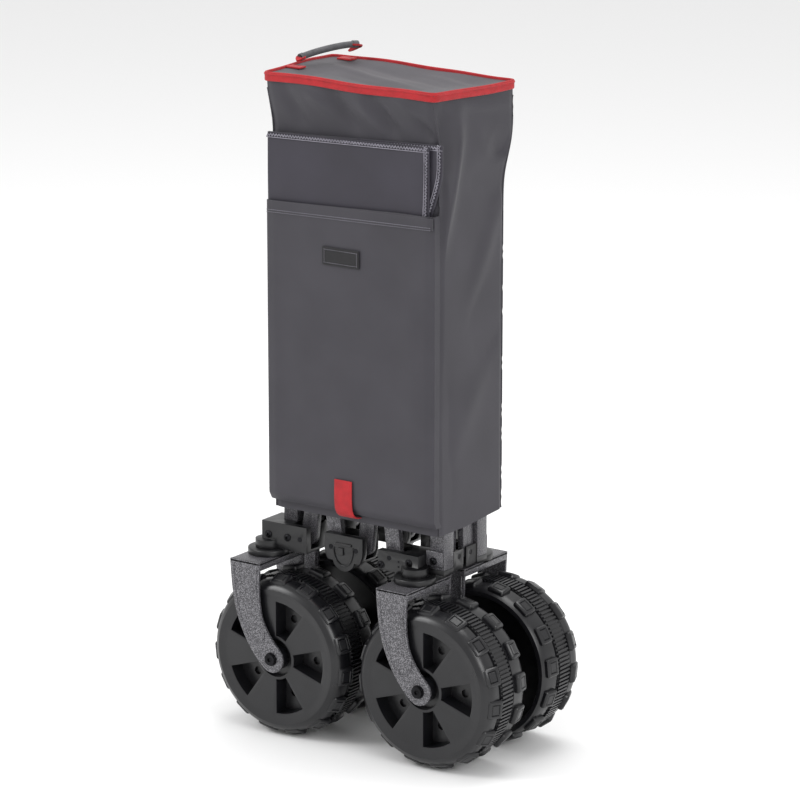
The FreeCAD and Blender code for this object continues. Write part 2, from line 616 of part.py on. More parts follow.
def cover():
    """The fabric cover: walls, lid, piping, pocket, label, pull tab and the mat kept in the pocket."""
    wall, lid = size("cover_wall"), size("lid_bottom")
    outside = cover_prism("cover_outside", 0, size("hem"), lid)
    inside = cover_prism("cover_inside", wall, size("hem") - 5, lid + 5)
    node(cut("cover_walls", outside, [inside]), "cover_body")
    around = ("cover_front", "cover_rear"), ("cover_out", "cover_far")
    node(box("cover_lid_plate", *around, ("lid_bottom", "lid_bottom + lid_thickness")), "cover_lid")
    ring_outside = box("piping_outside", ("cover_front - piping_width", "cover_rear + piping_width"),
                       ("cover_out - piping_width", "cover_far + piping_width"), ("piping_low", "piping_high"))
    ring_inside = box("piping_inside", *around, ("piping_low - 1", "piping_high + 1"))
    node(cut("piping_ring", ring_outside, [ring_inside]), "lid_piping")

    pocket_blank = box("pocket_blank", ("cover_front", "cover_rear"), ("cover_out", "cover_near"),
                       ("pocket_bottom", "pocket_top"))
    pocket_room = box("pocket_room", ("cover_front + cover_wall", "cover_rear - cover_wall"),
                      ("cover_out + pocket_wall", "cover_near + 1"), ("pocket_bottom + pocket_wall", "pocket_top + 1"))
    node(cut("pocket_panel", pocket_blank, [pocket_room]), "front_pocket")
    mat_y = ("cover_out + pocket_wall + mat_clearance", "cover_near - mat_clearance")
    mat_low = box("mat_low", ("mat_front", "mat_rear"), mat_y, ("mat_bottom", "mat_top"))
    mat_high = box("mat_high", ("mat_rear", "mat_wing"), mat_y, ("pocket_top + 5", "mat_top"))
    node(fuse("mat_folded", [mat_low, mat_high]), "floor_mat")
    trim_y = ("cover_out - trim_thickness", "cover_out")
    node(box("label_patch", ("label_start", "label_end"), trim_y, ("label_low", "label_high")), "blank_label")
    tab_front = box("tab_front", ("tab_start", "tab_end"), trim_y, ("pocket_bottom", "tab_top"))
    tab_under = box("tab_under", ("tab_start", "tab_end"), ("cover_out - trim_thickness", "cover_near"),
                    ("pocket_bottom - trim_thickness", "pocket_bottom"))
    node(fuse("tab_folded", [tab_front, tab_under]), "pull_tab")


def carry_strap():
    """The webbing carry loop on the lid, an arch that is highest and leans over towards its far end."""
    root, rise = size("strap_root"), size("strap_rise")
    start, end = size("strap_start"), size("strap_end")
    start_x, end_x = size("strap_start_x"), size("strap_end_x")
    stations = [(0, 0), (0.06, 0.30), (0.25, 0.55), (0.6, 0.83), (0.85, 0.98), (0.98, 0.9), (1.04, 0.55), (1, 0)]
    lean = size("strap_lean")
    points = [vector(start_x + (end_x - start_x) * along + lean * up * along ** 2, start + (end - start) * along,
                     root + rise * up) for along, up in stations]
    curve = Part.BSplineCurve()
    curve.interpolate(points)
    spine = doc.addObject("Part::Feature", "strap_spine")
    spine.Shape = curve.toShape()
    tangent = curve.tangent(curve.FirstParameter)[0]
    ring_profile = doc.addObject("Part::Circle", "strap_profile")
    ring_profile.Placement = FreeCAD.Placement(points[0], FreeCAD.Rotation(vector(0, 0, 1), tangent))
    bind(ring_profile, Radius="strap_radius")
    tube = doc.addObject("Part::Sweep", "strap_tube")
    tube.Sections = [ring_profile]
    tube.Spine = (spine, ["Edge1"])
    tube.Solid = True
    tube.Frenet = False
    ends, anchors = [], []
    for name, point in (("near", points[0]), ("far", points[-1])):
        ball = doc.addObject("Part::Sphere", f"strap_{name}_end")
        ball.Placement.Base = point
        ends.append(bind(ball, Radius="strap_radius"))
        x = (f"{point.x} - anchor_half", f"{point.x} + anchor_half")
        height = ("lid_bottom + lid_thickness", "strap_root - strap_radius - anchor_gap")
        anchors.append(box(f"anchor_{name}", x, (f"{point.y} - 9", f"{point.y} + 4"), height))
    node(fuse("strap_loop", [tube] + ends), "carry_strap")
    node(group("anchors", anchors), "strap_anchors")


swivel_bolts = []
for end_name, end, rear in (("front", -1, False), ("rear", 1, True)):
    axle_bolts, bearings = [], []
    for side_name, side in SIDES.items():
        corner = f"{end_name}_{side_name}"
        place = "post_rear" if rear else "post_front"
        wheel(f"wheel_{corner}", end, side)
        fork(f"fork_{corner}", end, side)
        post(f"post_{corner}", place, side)
        corner_bracket(f"corner_bracket_{corner}", side, rear)
        slider(f"slider_{corner}", side, rear)
        axle_bolts.append(axle_bolt(f"bolt_{corner}", end, side))
        bearings.append(swivel_bearing(f"bearing_{corner}", end, side))
        swivel_bolts.append(swivel_bolt(f"swivel_{corner}", end, side))
        if not rear:
            node(axle_bolts.pop(), f"axle_bolt_{corner}")
            node(bearings.pop(), f"swivel_bearing_{corner}")
    if rear:
        node(group("rear_axles", axle_bolts), "axle_bolts_rear")
        node(group("rear_bearings", bearings), "fork_spacers_rear")
node(group("upright_bolts", swivel_bolts), "swivel_bolts")
node(group("caps", [post_cap(f"cap_{place}_{name}", place, side) for place in ("post_front", "post_rear")
                    for name, side in SIDES.items()]), "post_caps")
for side_name, side in SIDES.items():
    centre_bracket(f"centre_bracket_{side_name}", side, "bracket_bottom", "bracket_top", "bracket_face", True)
    centre_bracket(f"top_yoke_{side_name}", side, "slider_bottom", "slider_top + 8", "slider_face", False)
folding_bars()
rivets()
post_clips()
bracket_screws()
pull_handle()
tub_fabric()
cover()
carry_strap()

doc.recompute()
for item in doc.Objects:
    if "Invalid" in item.State or "Error" in item.State:
        raise RuntimeError(f"{item.Label} did not compute: {item.State}")
for item in nodes:
    if item.Shape.isNull() or not item.Shape.isValid():
        raise RuntimeError(f"{item.Label} has no valid shape")
    item.Shape.exportStep(f"parts/{item.Label}.step")
print(len(nodes), "nodes")
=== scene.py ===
"""Looks of a folding all-terrain wagon, folded on its wheels inside a slip-over cloth cover.

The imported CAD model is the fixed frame. Each class below builds one sub-assembly around it, in metres.
"""

import json
import logging
import math
from collections.abc import Callable, Iterable
from dataclasses import dataclass
from enum import Enum

import bpy
from mathutils import Matrix, Vector, noise

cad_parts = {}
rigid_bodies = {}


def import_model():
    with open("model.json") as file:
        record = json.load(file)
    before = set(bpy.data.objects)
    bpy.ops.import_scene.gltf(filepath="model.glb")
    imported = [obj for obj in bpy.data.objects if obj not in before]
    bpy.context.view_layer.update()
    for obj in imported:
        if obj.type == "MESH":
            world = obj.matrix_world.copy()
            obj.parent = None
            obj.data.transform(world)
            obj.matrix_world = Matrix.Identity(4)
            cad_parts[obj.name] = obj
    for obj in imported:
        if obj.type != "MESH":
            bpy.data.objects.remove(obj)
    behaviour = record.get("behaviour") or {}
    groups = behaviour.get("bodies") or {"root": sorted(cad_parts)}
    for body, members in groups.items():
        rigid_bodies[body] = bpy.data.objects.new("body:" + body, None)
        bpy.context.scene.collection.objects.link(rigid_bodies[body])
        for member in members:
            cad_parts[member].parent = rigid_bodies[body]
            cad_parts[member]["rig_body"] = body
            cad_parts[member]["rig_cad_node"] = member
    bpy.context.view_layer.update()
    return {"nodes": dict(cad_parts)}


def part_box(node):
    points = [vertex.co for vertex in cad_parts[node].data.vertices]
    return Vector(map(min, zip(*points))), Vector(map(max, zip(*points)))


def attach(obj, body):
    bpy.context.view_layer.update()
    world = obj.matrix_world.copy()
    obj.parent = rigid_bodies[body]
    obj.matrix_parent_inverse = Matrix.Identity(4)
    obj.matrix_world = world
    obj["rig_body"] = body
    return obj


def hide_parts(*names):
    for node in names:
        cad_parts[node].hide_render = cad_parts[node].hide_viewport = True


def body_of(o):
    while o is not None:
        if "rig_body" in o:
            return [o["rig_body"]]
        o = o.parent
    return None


LOG = logging.getLogger("wagon")
MM = 0.001
FULL_TURN = 2 * math.pi
Node = bpy.types.Node
Piece = bpy.types.Object
Material = bpy.types.Material


# ---------------------------------------------------------------- small tools

def linear(hex_colour: str) -> tuple[float, float, float, float]:
    """Turn an sRGB hex colour into the linear values that a shader takes.

    Args:
        hex_colour: Six hex digits, red first.

    Returns:
        Linear red, green and blue, and an alpha of 1.
    """
    parts = [int(hex_colour[i:i + 2], 16) / 255 for i in (0, 2, 4)]
    red, green, blue = (p / 12.92 if p <= 0.04045 else ((p + 0.055) / 1.055) ** 2.4 for p in parts)
    return red, green, blue, 1.0


def pick(*pieces: Piece) -> None:
    """Select only these pieces and make the first one active.

    Args:
        pieces: The pieces to select.
    """
    bpy.ops.object.select_all(action="DESELECT")
    for piece in pieces:
        piece.select_set(True)
    bpy.context.view_layer.objects.active = pieces[0]


def apply_modifier(piece: Piece, kind: str, **settings: object) -> None:
    """Add a modifier to a piece and apply it at once.

    Args:
        piece: The piece it works on.
        kind: Blender's name for the modifier's type.
        settings: The modifier's settings by name.
    """
    pick(piece)
    modifier = piece.modifiers.new(kind.title(), kind)
    for name, value in settings.items():
        setattr(modifier, name, value)
    bpy.ops.object.modifier_apply(modifier=modifier.name)


def select_faces(piece: Piece, wanted: Callable[[bpy.types.MeshPolygon], bool]) -> None:
    """Leave a piece in edit mode with only the wanted faces selected.

    Args:
        piece: The piece whose faces are tested.
        wanted: Says whether a face is taken.
    """
    select_none(piece, "FACE")
    for face in piece.data.polygons:
        face.select = wanted(face)
    bpy.ops.object.mode_set(mode="EDIT")


def select_edges(piece: Piece, wanted: Callable[[bpy.types.MeshEdge], bool]) -> None:
    """Leave a piece in edit mode with only the wanted edges selected.

    Args:
        piece: The piece whose edges are tested.
        wanted: Says whether an edge is taken.
    """
    select_none(piece, "EDGE")
    for edge in piece.data.edges:
        edge.select = wanted(edge)
    bpy.ops.object.mode_set(mode="EDIT")


def select_none(piece: Piece, kind: str) -> None:
    """Leave a piece in object mode with nothing of its mesh selected.

    Args:
        piece: The piece.
        kind: What edit mode will select next, FACE or EDGE.
    """
    pick(piece)
    bpy.ops.object.mode_set(mode="EDIT")
    bpy.ops.mesh.select_mode(type=kind)
    bpy.ops.mesh.select_all(action="DESELECT")
    leave_edit()


def edit_all(piece: Piece) -> None:
    """Enter edit mode on a piece with the whole of its mesh selected.

    Args:
        piece: The piece.
    """
    pick(piece)
    bpy.ops.object.mode_set(mode="EDIT")
    bpy.ops.mesh.select_all(action="SELECT")


def leave_edit() -> None:
    """Go back to object mode."""
    bpy.ops.object.mode_set(mode="OBJECT")


def place_in_mesh(piece: Piece) -> Piece:
    """Move an object's place, turn and size into its mesh, so that it sits at the origin.

    Args:
        piece: The object.

    Returns:
        The same object.
    """
    pick(piece)
    bpy.ops.object.transform_apply(location=True, rotation=True, scale=True)
    return piece


def smooth(piece: Piece, degrees: float = 32) -> None:
    """Shade a piece smooth, with sharp edges past an angle in degrees."""
    pick(piece)
    bpy.ops.object.shade_smooth_by_angle(angle=math.radians(degrees))


def outward(piece: Piece) -> None:
    """Merge a piece's double points and turn its faces outwards.

    Args:
        piece: The piece.
    """
    edit_all(piece)
    bpy.ops.mesh.remove_doubles(threshold=0.00002)
    bpy.ops.mesh.normals_make_consistent(inside=False)
    leave_edit()


def moved_copy(piece: Piece, matrix: Matrix) -> Piece:
    """A copy of a piece with its own mesh, moved by a matrix.

    Args:
        piece: The piece to copy.
        matrix: Where the copy goes.

    Returns:
        The copy, its place in its mesh.
    """
    twin = piece.copy()
    twin.data = piece.data.copy()
    twin.data.transform(matrix)
    bpy.context.scene.collection.objects.link(twin)
    if matrix.determinant() < 0:
        twin.data.flip_normals()
    return twin


def joined(pieces: Iterable[Piece], name: str) -> Piece:
    """Join pieces into one object.

    Args:
        pieces: The pieces to join.
        name: The name of the object and its mesh.

    Returns:
        The joined object.
    """
    several = list(pieces)
    pick(*several)
    if len(several) > 1:
        bpy.ops.object.join()
    several[0].name = name
    several[0].data.name = name
    return several[0]


def rounded_block(centre: Vector, size: Vector, round_by: float, steps: int = 3) -> Piece:
    """A block with rounded edges.

    Args:
        centre: Its middle.
        size: Its full sizes along X, Y and Z.
        round_by: The radius of its edges.
        steps: How many faces each rounded edge has.

    Returns:
        The block, its place in its mesh.
    """
    bpy.ops.object.select_all(action="DESELECT")
    bpy.ops.mesh.primitive_cube_add(size=1, location=centre)
    block = bpy.context.object
    block.scale = size
    place_in_mesh(block)
    apply_modifier(block, "BEVEL", width=round_by, segments=steps, limit_method="NONE")
    return block


def turned(profile: list[tuple[float, float]], steps: int, closed: bool = True) -> Piece:
    """Turn a section around the Y axis, ring by ring.

    Args:
        profile: Points of the section, each a radius and a Y place.
        steps: How many faces go around.
        closed: Whether the last ring joins the first.

    Returns:
        The turned piece about the origin.
    """
    bpy.ops.object.select_all(action="DESELECT")
    radius, place = profile[0]
    bpy.ops.mesh.primitive_circle_add(vertices=steps, radius=radius, location=(0, 0, 0),
                                      rotation=(math.pi / 2, 0, 0))
    piece = place_in_mesh(bpy.context.object)
    piece.data.transform(Matrix.Translation((0, place, 0)))
    bpy.ops.object.mode_set(mode="EDIT")
    bpy.ops.mesh.select_mode(type="VERT")
    bpy.ops.mesh.select_all(action="SELECT")
    rest = profile[1:] + profile[:1] if closed else profile[1:]
    for next_radius, next_place in rest:
        bpy.ops.mesh.extrude_region_move(TRANSFORM_OT_translate={"value": (0, next_place - place, 0)})
        scale = next_radius / radius
        bpy.ops.transform.resize(value=(scale, 1, scale), center_override=(0, next_place, 0))
        radius, place = next_radius, next_place
    leave_edit()
    outward(piece)
    return piece


def tube_along(name: str, points: list[Vector], radius: float, flat: float = 0.0,
               closed: bool = False, steps: int = 6) -> Piece:
    """A round tube, or a band on edge, that follows a smooth line.

    Args:
        name: The piece's name.
        points: Control points of the line.
        radius: Half the tube's or band's thickness.
        flat: Half the band's straight height; 0 gives a round tube.
        closed: Whether the line is a ring.
        steps: Points between control points.

    Returns:
        The tube as a mesh at the origin.
    """
    curve = bpy.data.curves.new(name, "CURVE")
    curve.dimensions = "3D"
    curve.twist_mode = "Z_UP"
    curve.resolution_u = steps
    curve.bevel_depth = radius
    curve.bevel_resolution = 3
    curve.extrude = flat
    curve.use_fill_caps = True
    spline = curve.splines.new("NURBS")
    spline.points.add(len(points) - 1)
    for place, point in zip(points, spline.points):
        point.co = (*place, 1)
    spline.order_u = 3
    spline.use_endpoint_u = not closed
    spline.use_cyclic_u = closed
    holder = bpy.data.objects.new(name, curve)
    bpy.context.scene.collection.objects.link(holder)
    pick(holder)
    bpy.ops.object.convert(target="MESH")
    piece = bpy.context.object
    piece.name = name
    outward(piece)
    return piece


def hide_away(*pieces: Piece) -> None:
    """Delete scaffold pieces that aren't part of the wagon."""
    for piece in pieces:
        bpy.data.objects.remove(piece)


def settle(piece: Piece, body: str, finish: Material, slot: str, *replaced: str) -> Piece:
    """Dress a finished piece, put it on its body and hide the CAD nodes that it replaces.

    Args:
        piece: The finished piece.
        body: The CAD body that it rides on.
        finish: Its material.
        slot: The record's material slot for its finish; not used.
        replaced: The CAD nodes it replaces.

    Returns:
        The piece.
    """
    piece.data.materials.clear()
    piece.data.materials.append(finish)
    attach(piece, body)
    if replaced:
        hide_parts(*replaced)
    LOG.info("%s rides on %s", piece.name, body)
    return piece


# ---------------------------------------------------------------- finishes

def add_node(tree: bpy.types.NodeTree, kind: str, settings: dict[str, object] | None = None,
             inputs: dict[str | int, object] | None = None) -> Node:
    """Add a node with its settings, its input values and its links.

    Args:
        tree: The node tree.
        kind: The node's type.
        settings: Properties of the node.
        inputs: Values or output sockets for its inputs, by name or number.

    Returns:
        The new node.
    """
    made = tree.nodes.new(kind)
    for name, value in (settings or {}).items():
        setattr(made, name, value)
    for key, value in (inputs or {}).items():
        if isinstance(value, bpy.types.NodeSocket):
            tree.links.new(value, made.inputs[key])
        else:
            made.inputs[key].default_value = value
    return made


def new_material(name: str) -> tuple[Material, bpy.types.NodeTree, Node, Node]:
    """Start a material.

    Args:
        name: The finish, in plain words.

    Returns:
        The material, its tree, its Principled shader and its Texture Coordinate node.
    """
    material = bpy.data.materials.new(name)
    material.use_nodes = True
    tree = material.node_tree
    shader = tree.nodes["Principled BSDF"]
    place = add_node(tree, "ShaderNodeTexCoord")
    return material, tree, shader, place


def wire(tree: bpy.types.NodeTree, shader: Node, colour: Node, bump: Node, values: dict[str, float]) -> None:
    """Link a shader's colour and relief, and set what is the same all over the piece.

    Args:
        tree: The node tree.
        shader: The Principled shader.
        colour: The node whose Color output is the colour.
        bump: The Bump node.
        values: Values of the shader's inputs by name.
    """
    tree.links.new(colour.outputs["Color"], shader.inputs["Base Color"])
    tree.links.new(bump.outputs["Normal"], shader.inputs["Normal"])
    for name, value in values.items():
        shader.inputs[name].default_value = value


def mottled(tree: bpy.types.NodeTree, where: bpy.types.NodeSocket, spacing_mm: float,
            stops: list[tuple[float, str]], detail: float = 3.0) -> Node:
    """Colour that wanders between stops with a noise of a real size.

    Args:
        tree: The node tree.
        where: The coordinates.
        spacing_mm: The size of the noise's blotches in millimetres.
        stops: Places on the ramp and their hex colours.
        detail: How much fine detail the noise has.

    Returns:
        The ramp node; its Color output is the colour.
    """
    blotches = add_node(tree, "ShaderNodeTexNoise", {},
                        {"Vector": where, "Scale": 1000 / spacing_mm, "Detail": detail})
    ramp = add_node(tree, "ShaderNodeValToRGB", {}, {"Fac": blotches.outputs["Fac"]})
    for number, (place, colour) in enumerate(stops):
        stop = ramp.color_ramp.elements[number] if number < 2 else ramp.color_ramp.elements.new(place)
        stop.position = place
        stop.color = linear(colour)
    return ramp


class Lie(Enum):
    """How a cloth lies, which sets the two axes that its threads follow."""

    UPRIGHT = "upright"
    LEVEL = "level"


@dataclass(frozen=True)
class CoatedPolyester:
    """Woven polyester with a thin matt coating: smooth, dull, with a faint thread and soft blotches."""

    name: str
    dark: str
    light: str
    lie: Lie = Lie.UPRIGHT
    thread_mm: float = 0.9
    roughness: float = 0.62
    depth_mm: float = 0.05

    def build(self) -> Material:
        """Build the material.

        Returns:
            The material.
        """
        # The real thread is about 0.4 mm apart; it is drawn about twice as coarse, so that it shows.
        material, tree, shader, place = new_material(self.name)
        split = add_node(tree, "ShaderNodeSeparateXYZ", {}, {0: place.outputs["Object"]})
        if self.lie is Lie.UPRIGHT:
            around = add_node(tree, "ShaderNodeMath", {"operation": "ADD"},
                              {0: split.outputs["X"], 1: split.outputs["Y"]}).outputs[0]
            along = split.outputs["Z"]
        else:
            around, along = split.outputs["X"], split.outputs["Y"]
        turns = FULL_TURN * 1000 / self.thread_mm
        waves = []
        for axis in (around, along):
            angle = add_node(tree, "ShaderNodeMath", {"operation": "MULTIPLY"}, {0: axis, 1: turns})
            waves.append(add_node(tree, "ShaderNodeMath", {"operation": "SINE"}, {0: angle.outputs[0]}))
        weave = add_node(tree, "ShaderNodeMath", {"operation": "MULTIPLY"},
                         {0: waves[0].outputs[0], 1: waves[1].outputs[0]})
        slub = add_node(tree, "ShaderNodeTexNoise", {},
                        {"Vector": place.outputs["Object"], "Scale": 1000 / 3.0, "Detail": 4.0})
        height = add_node(tree, "ShaderNodeMath", {"operation": "MULTIPLY_ADD"},
                          {0: weave.outputs[0], 1: 0.35, 2: slub.outputs["Fac"]})
        bump = add_node(tree, "ShaderNodeBump", {},
                        {"Height": height.outputs[0], "Distance": self.depth_mm * MM, "Strength": 0.5})
        colour = mottled(tree, place.outputs["Object"], 60, [(0.3, self.dark), (0.7, self.light)])
        wire(tree, shader, colour, bump,
             {"Roughness": self.roughness, "IOR": 1.5, "Sheen Weight": 0.06, "Sheen Roughness": 0.5})
        return material


@dataclass(frozen=True)
class WovenWebbing:
    """Flat woven tape: clear diagonal ribs, dull, with a little fuzz that catches light."""

    name: str
    dark: str
    light: str
    rib_mm: float = 1.4
    depth_mm: float = 0.25

    def build(self) -> Material:
        """Build the material.

        Returns:
            The material.
        """
        # Two crossing sets of diagonal ribs stand for the tape's twill.
        material, tree, shader, place = new_material(self.name)
        split = add_node(tree, "ShaderNodeSeparateXYZ", {}, {0: place.outputs["Object"]})
        flat = add_node(tree, "ShaderNodeMath", {"operation": "ADD"},
                        {0: split.outputs["X"], 1: split.outputs["Y"]})
        ribs = []
        for operation in ("ADD", "SUBTRACT"):
            slant = add_node(tree, "ShaderNodeMath", {"operation": operation},
                             {0: flat.outputs[0], 1: split.outputs["Z"]})
            angle = add_node(tree, "ShaderNodeMath", {"operation": "MULTIPLY"},
                             {0: slant.outputs[0], 1: FULL_TURN * 1000 / self.rib_mm / math.sqrt(2)})
            ribs.append(add_node(tree, "ShaderNodeMath", {"operation": "SINE"}, {0: angle.outputs[0]}))
        both = add_node(tree, "ShaderNodeMath", {"operation": "MAXIMUM"},
                        {0: ribs[0].outputs[0], 1: ribs[1].outputs[0]})
        bump = add_node(tree, "ShaderNodeBump", {},
                        {"Height": both.outputs[0], "Distance": self.depth_mm * MM, "Strength": 0.6})
        colour = mottled(tree, place.outputs["Object"], 8, [(0.3, self.dark), (0.7, self.light)])
        wire(tree, shader, colour, bump,
             {"Roughness": 0.75, "IOR": 1.5, "Sheen Weight": 0.12, "Sheen Roughness": 0.4})
        return material


@dataclass(frozen=True)
class HammeredPaint:
    """Hammer-finish enamel on steel: a pebbled film, with light and dark specks where it pools."""

    name: str
    dark: str
    middle: str
    light: str
    pebble_mm: float = 1.2

    def build(self) -> Material:
        """Build the material.

        Returns:
            The material.
        """
        material, tree, shader, place = new_material(self.name)
        where = place.outputs["Object"]
        colour = mottled(tree, where, self.pebble_mm,
                         [(0.36, self.dark), (0.64, self.light), (0.5, self.middle)], 2.0)
        pebbles = add_node(tree, "ShaderNodeTexVoronoi", {"feature": "SMOOTH_F1"},
                           {"Vector": where, "Scale": 1000 / (1.3 * self.pebble_mm)})
        bump = add_node(tree, "ShaderNodeBump", {"invert": True},
                        {"Height": pebbles.outputs["Distance"], "Distance": 0.35 * MM, "Strength": 0.8})
        wire(tree, shader, colour, bump, {"Roughness": 0.38, "Metallic": 0.25, "Coat Weight": 0.2})
        return material


@dataclass(frozen=True)
class MouldedPlastic:
    """Moulded polypropylene: matt, with the fine spark-eroded grain of its tool."""

    name: str
    dark: str
    light: str
    roughness: float = 0.42
    grain_mm: float = 0.7
    grain_depth_mm: float = 0.04

    def build(self) -> Material:
        """Build the material.

        Returns:
            The material.
        """
        material, tree, shader, place = new_material(self.name)
        where = place.outputs["Object"]
        grain = add_node(tree, "ShaderNodeTexNoise", {},
                         {"Vector": where, "Scale": 1000 / self.grain_mm, "Detail": 2.0})
        bump = add_node(tree, "ShaderNodeBump", {},
                        {"Height": grain.outputs["Fac"], "Distance": self.grain_depth_mm * MM, "Strength": 0.7})
        colour = mottled(tree, where, 25, [(0.3, self.dark), (0.7, self.light)])
        haze = add_node(tree, "ShaderNodeTexNoise", {}, {"Vector": where, "Scale": 1000 / 18.0, "Detail": 3.0})
        rough = add_node(tree, "ShaderNodeMapRange", {},
                         {"Value": haze.outputs["Fac"], "To Min": self.roughness - 0.06,
                          "To Max": self.roughness + 0.08})
        tree.links.new(rough.outputs["Result"], shader.inputs["Roughness"])
        wire(tree, shader, colour, bump, {"IOR": 1.49})
        return material


@dataclass(frozen=True)
class PlatedSteel:
    """Steel with black zinc plating or satin powder paint: smooth, with soft reflections."""

    name: str
    dark: str
    light: str
    metallic: float
    roughness: float

    def build(self) -> Material:
        """Build the material.

        Returns:
            The material.
        """
        material, tree, shader, place = new_material(self.name)
        where = place.outputs["Object"]
        peel = add_node(tree, "ShaderNodeTexNoise", {}, {"Vector": where, "Scale": 1000 / 1.6, "Detail": 1.5})
        bump = add_node(tree, "ShaderNodeBump", {},
                        {"Height": peel.outputs["Fac"], "Distance": 0.05 * MM, "Strength": 0.6})
        colour = mottled(tree, where, 9, [(0.3, self.dark), (0.7, self.light)])
        wire(tree, shader, colour, bump, {"Metallic": self.metallic, "Roughness": self.roughness})
        return material


@dataclass(frozen=True)
class Finishes:
    """Every material of the wagon, made once."""

    cover: Material
    lid: Material
    mat: Material
    tub: Material
    red: Material
    strap: Material
    thread: Material
    label: Material
    wheel: Material
    casting: Material
    grip: Material
    fork: Material
    tube: Material
    bolt: Material

    @classmethod
    def make(cls) -> "Finishes":
        """Build all the finishes.

        Returns:
            The finishes.
        """
        # Coated cloth looks flat and dull, with soft blotches; its thread shows only close up.
        # Webbing looks ribbed and a little fuzzy. The paint looks pebbled and speckled.
        # Moulded plastic looks black with soft highlights, and the plated bolts look darker and sharper.
        return cls(
            cover=CoatedPolyester("Coated polyester, slate grey", "29272E", "302E35").build(),
            lid=CoatedPolyester("Coated polyester, lid", "353238", "3E3B41", Lie.LEVEL).build(),
            mat=CoatedPolyester("Padded polyester, mat", "221F29", "282530", thread_mm=1.1).build(),
            tub=CoatedPolyester("Oxford cloth, tub", "2E2E33", "3A3A40", thread_mm=1.2).build(),
            red=WovenWebbing("Polyester binding, red", "980A13", "AB101A").build(),
            strap=WovenWebbing("Webbing sleeve, grey", "454548", "58585B", rib_mm=1.2).build(),
            thread=WovenWebbing("Polyester thread, grey", "77747E", "918E99", rib_mm=0.6).build(),
            label=WovenWebbing("Woven label, black", "0D0C0F", "141317", rib_mm=0.8, depth_mm=0.08).build(),
            wheel=MouldedPlastic("Polypropylene, wheel black", "0D0D10", "141417", 0.3).build(),
            casting=MouldedPlastic("Glass-filled nylon, black", "0B0B0D", "121214", 0.34).build(),
            grip=MouldedPlastic("Soft rubber, black", "161618", "202022", 0.7).build(),
            fork=HammeredPaint("Hammered enamel, grey", "2C2B2F", "4B4A4E", "7D7C80").build(),
            tube=HammeredPaint("Hammered enamel, tubes", "2C2B2F", "464549", "6A696D").build(),
            bolt=PlatedSteel("Black zinc steel", "141416", "1E1E21", 0.85, 0.34).build(),
        )


# ---------------------------------------------------------------- wheels and forks

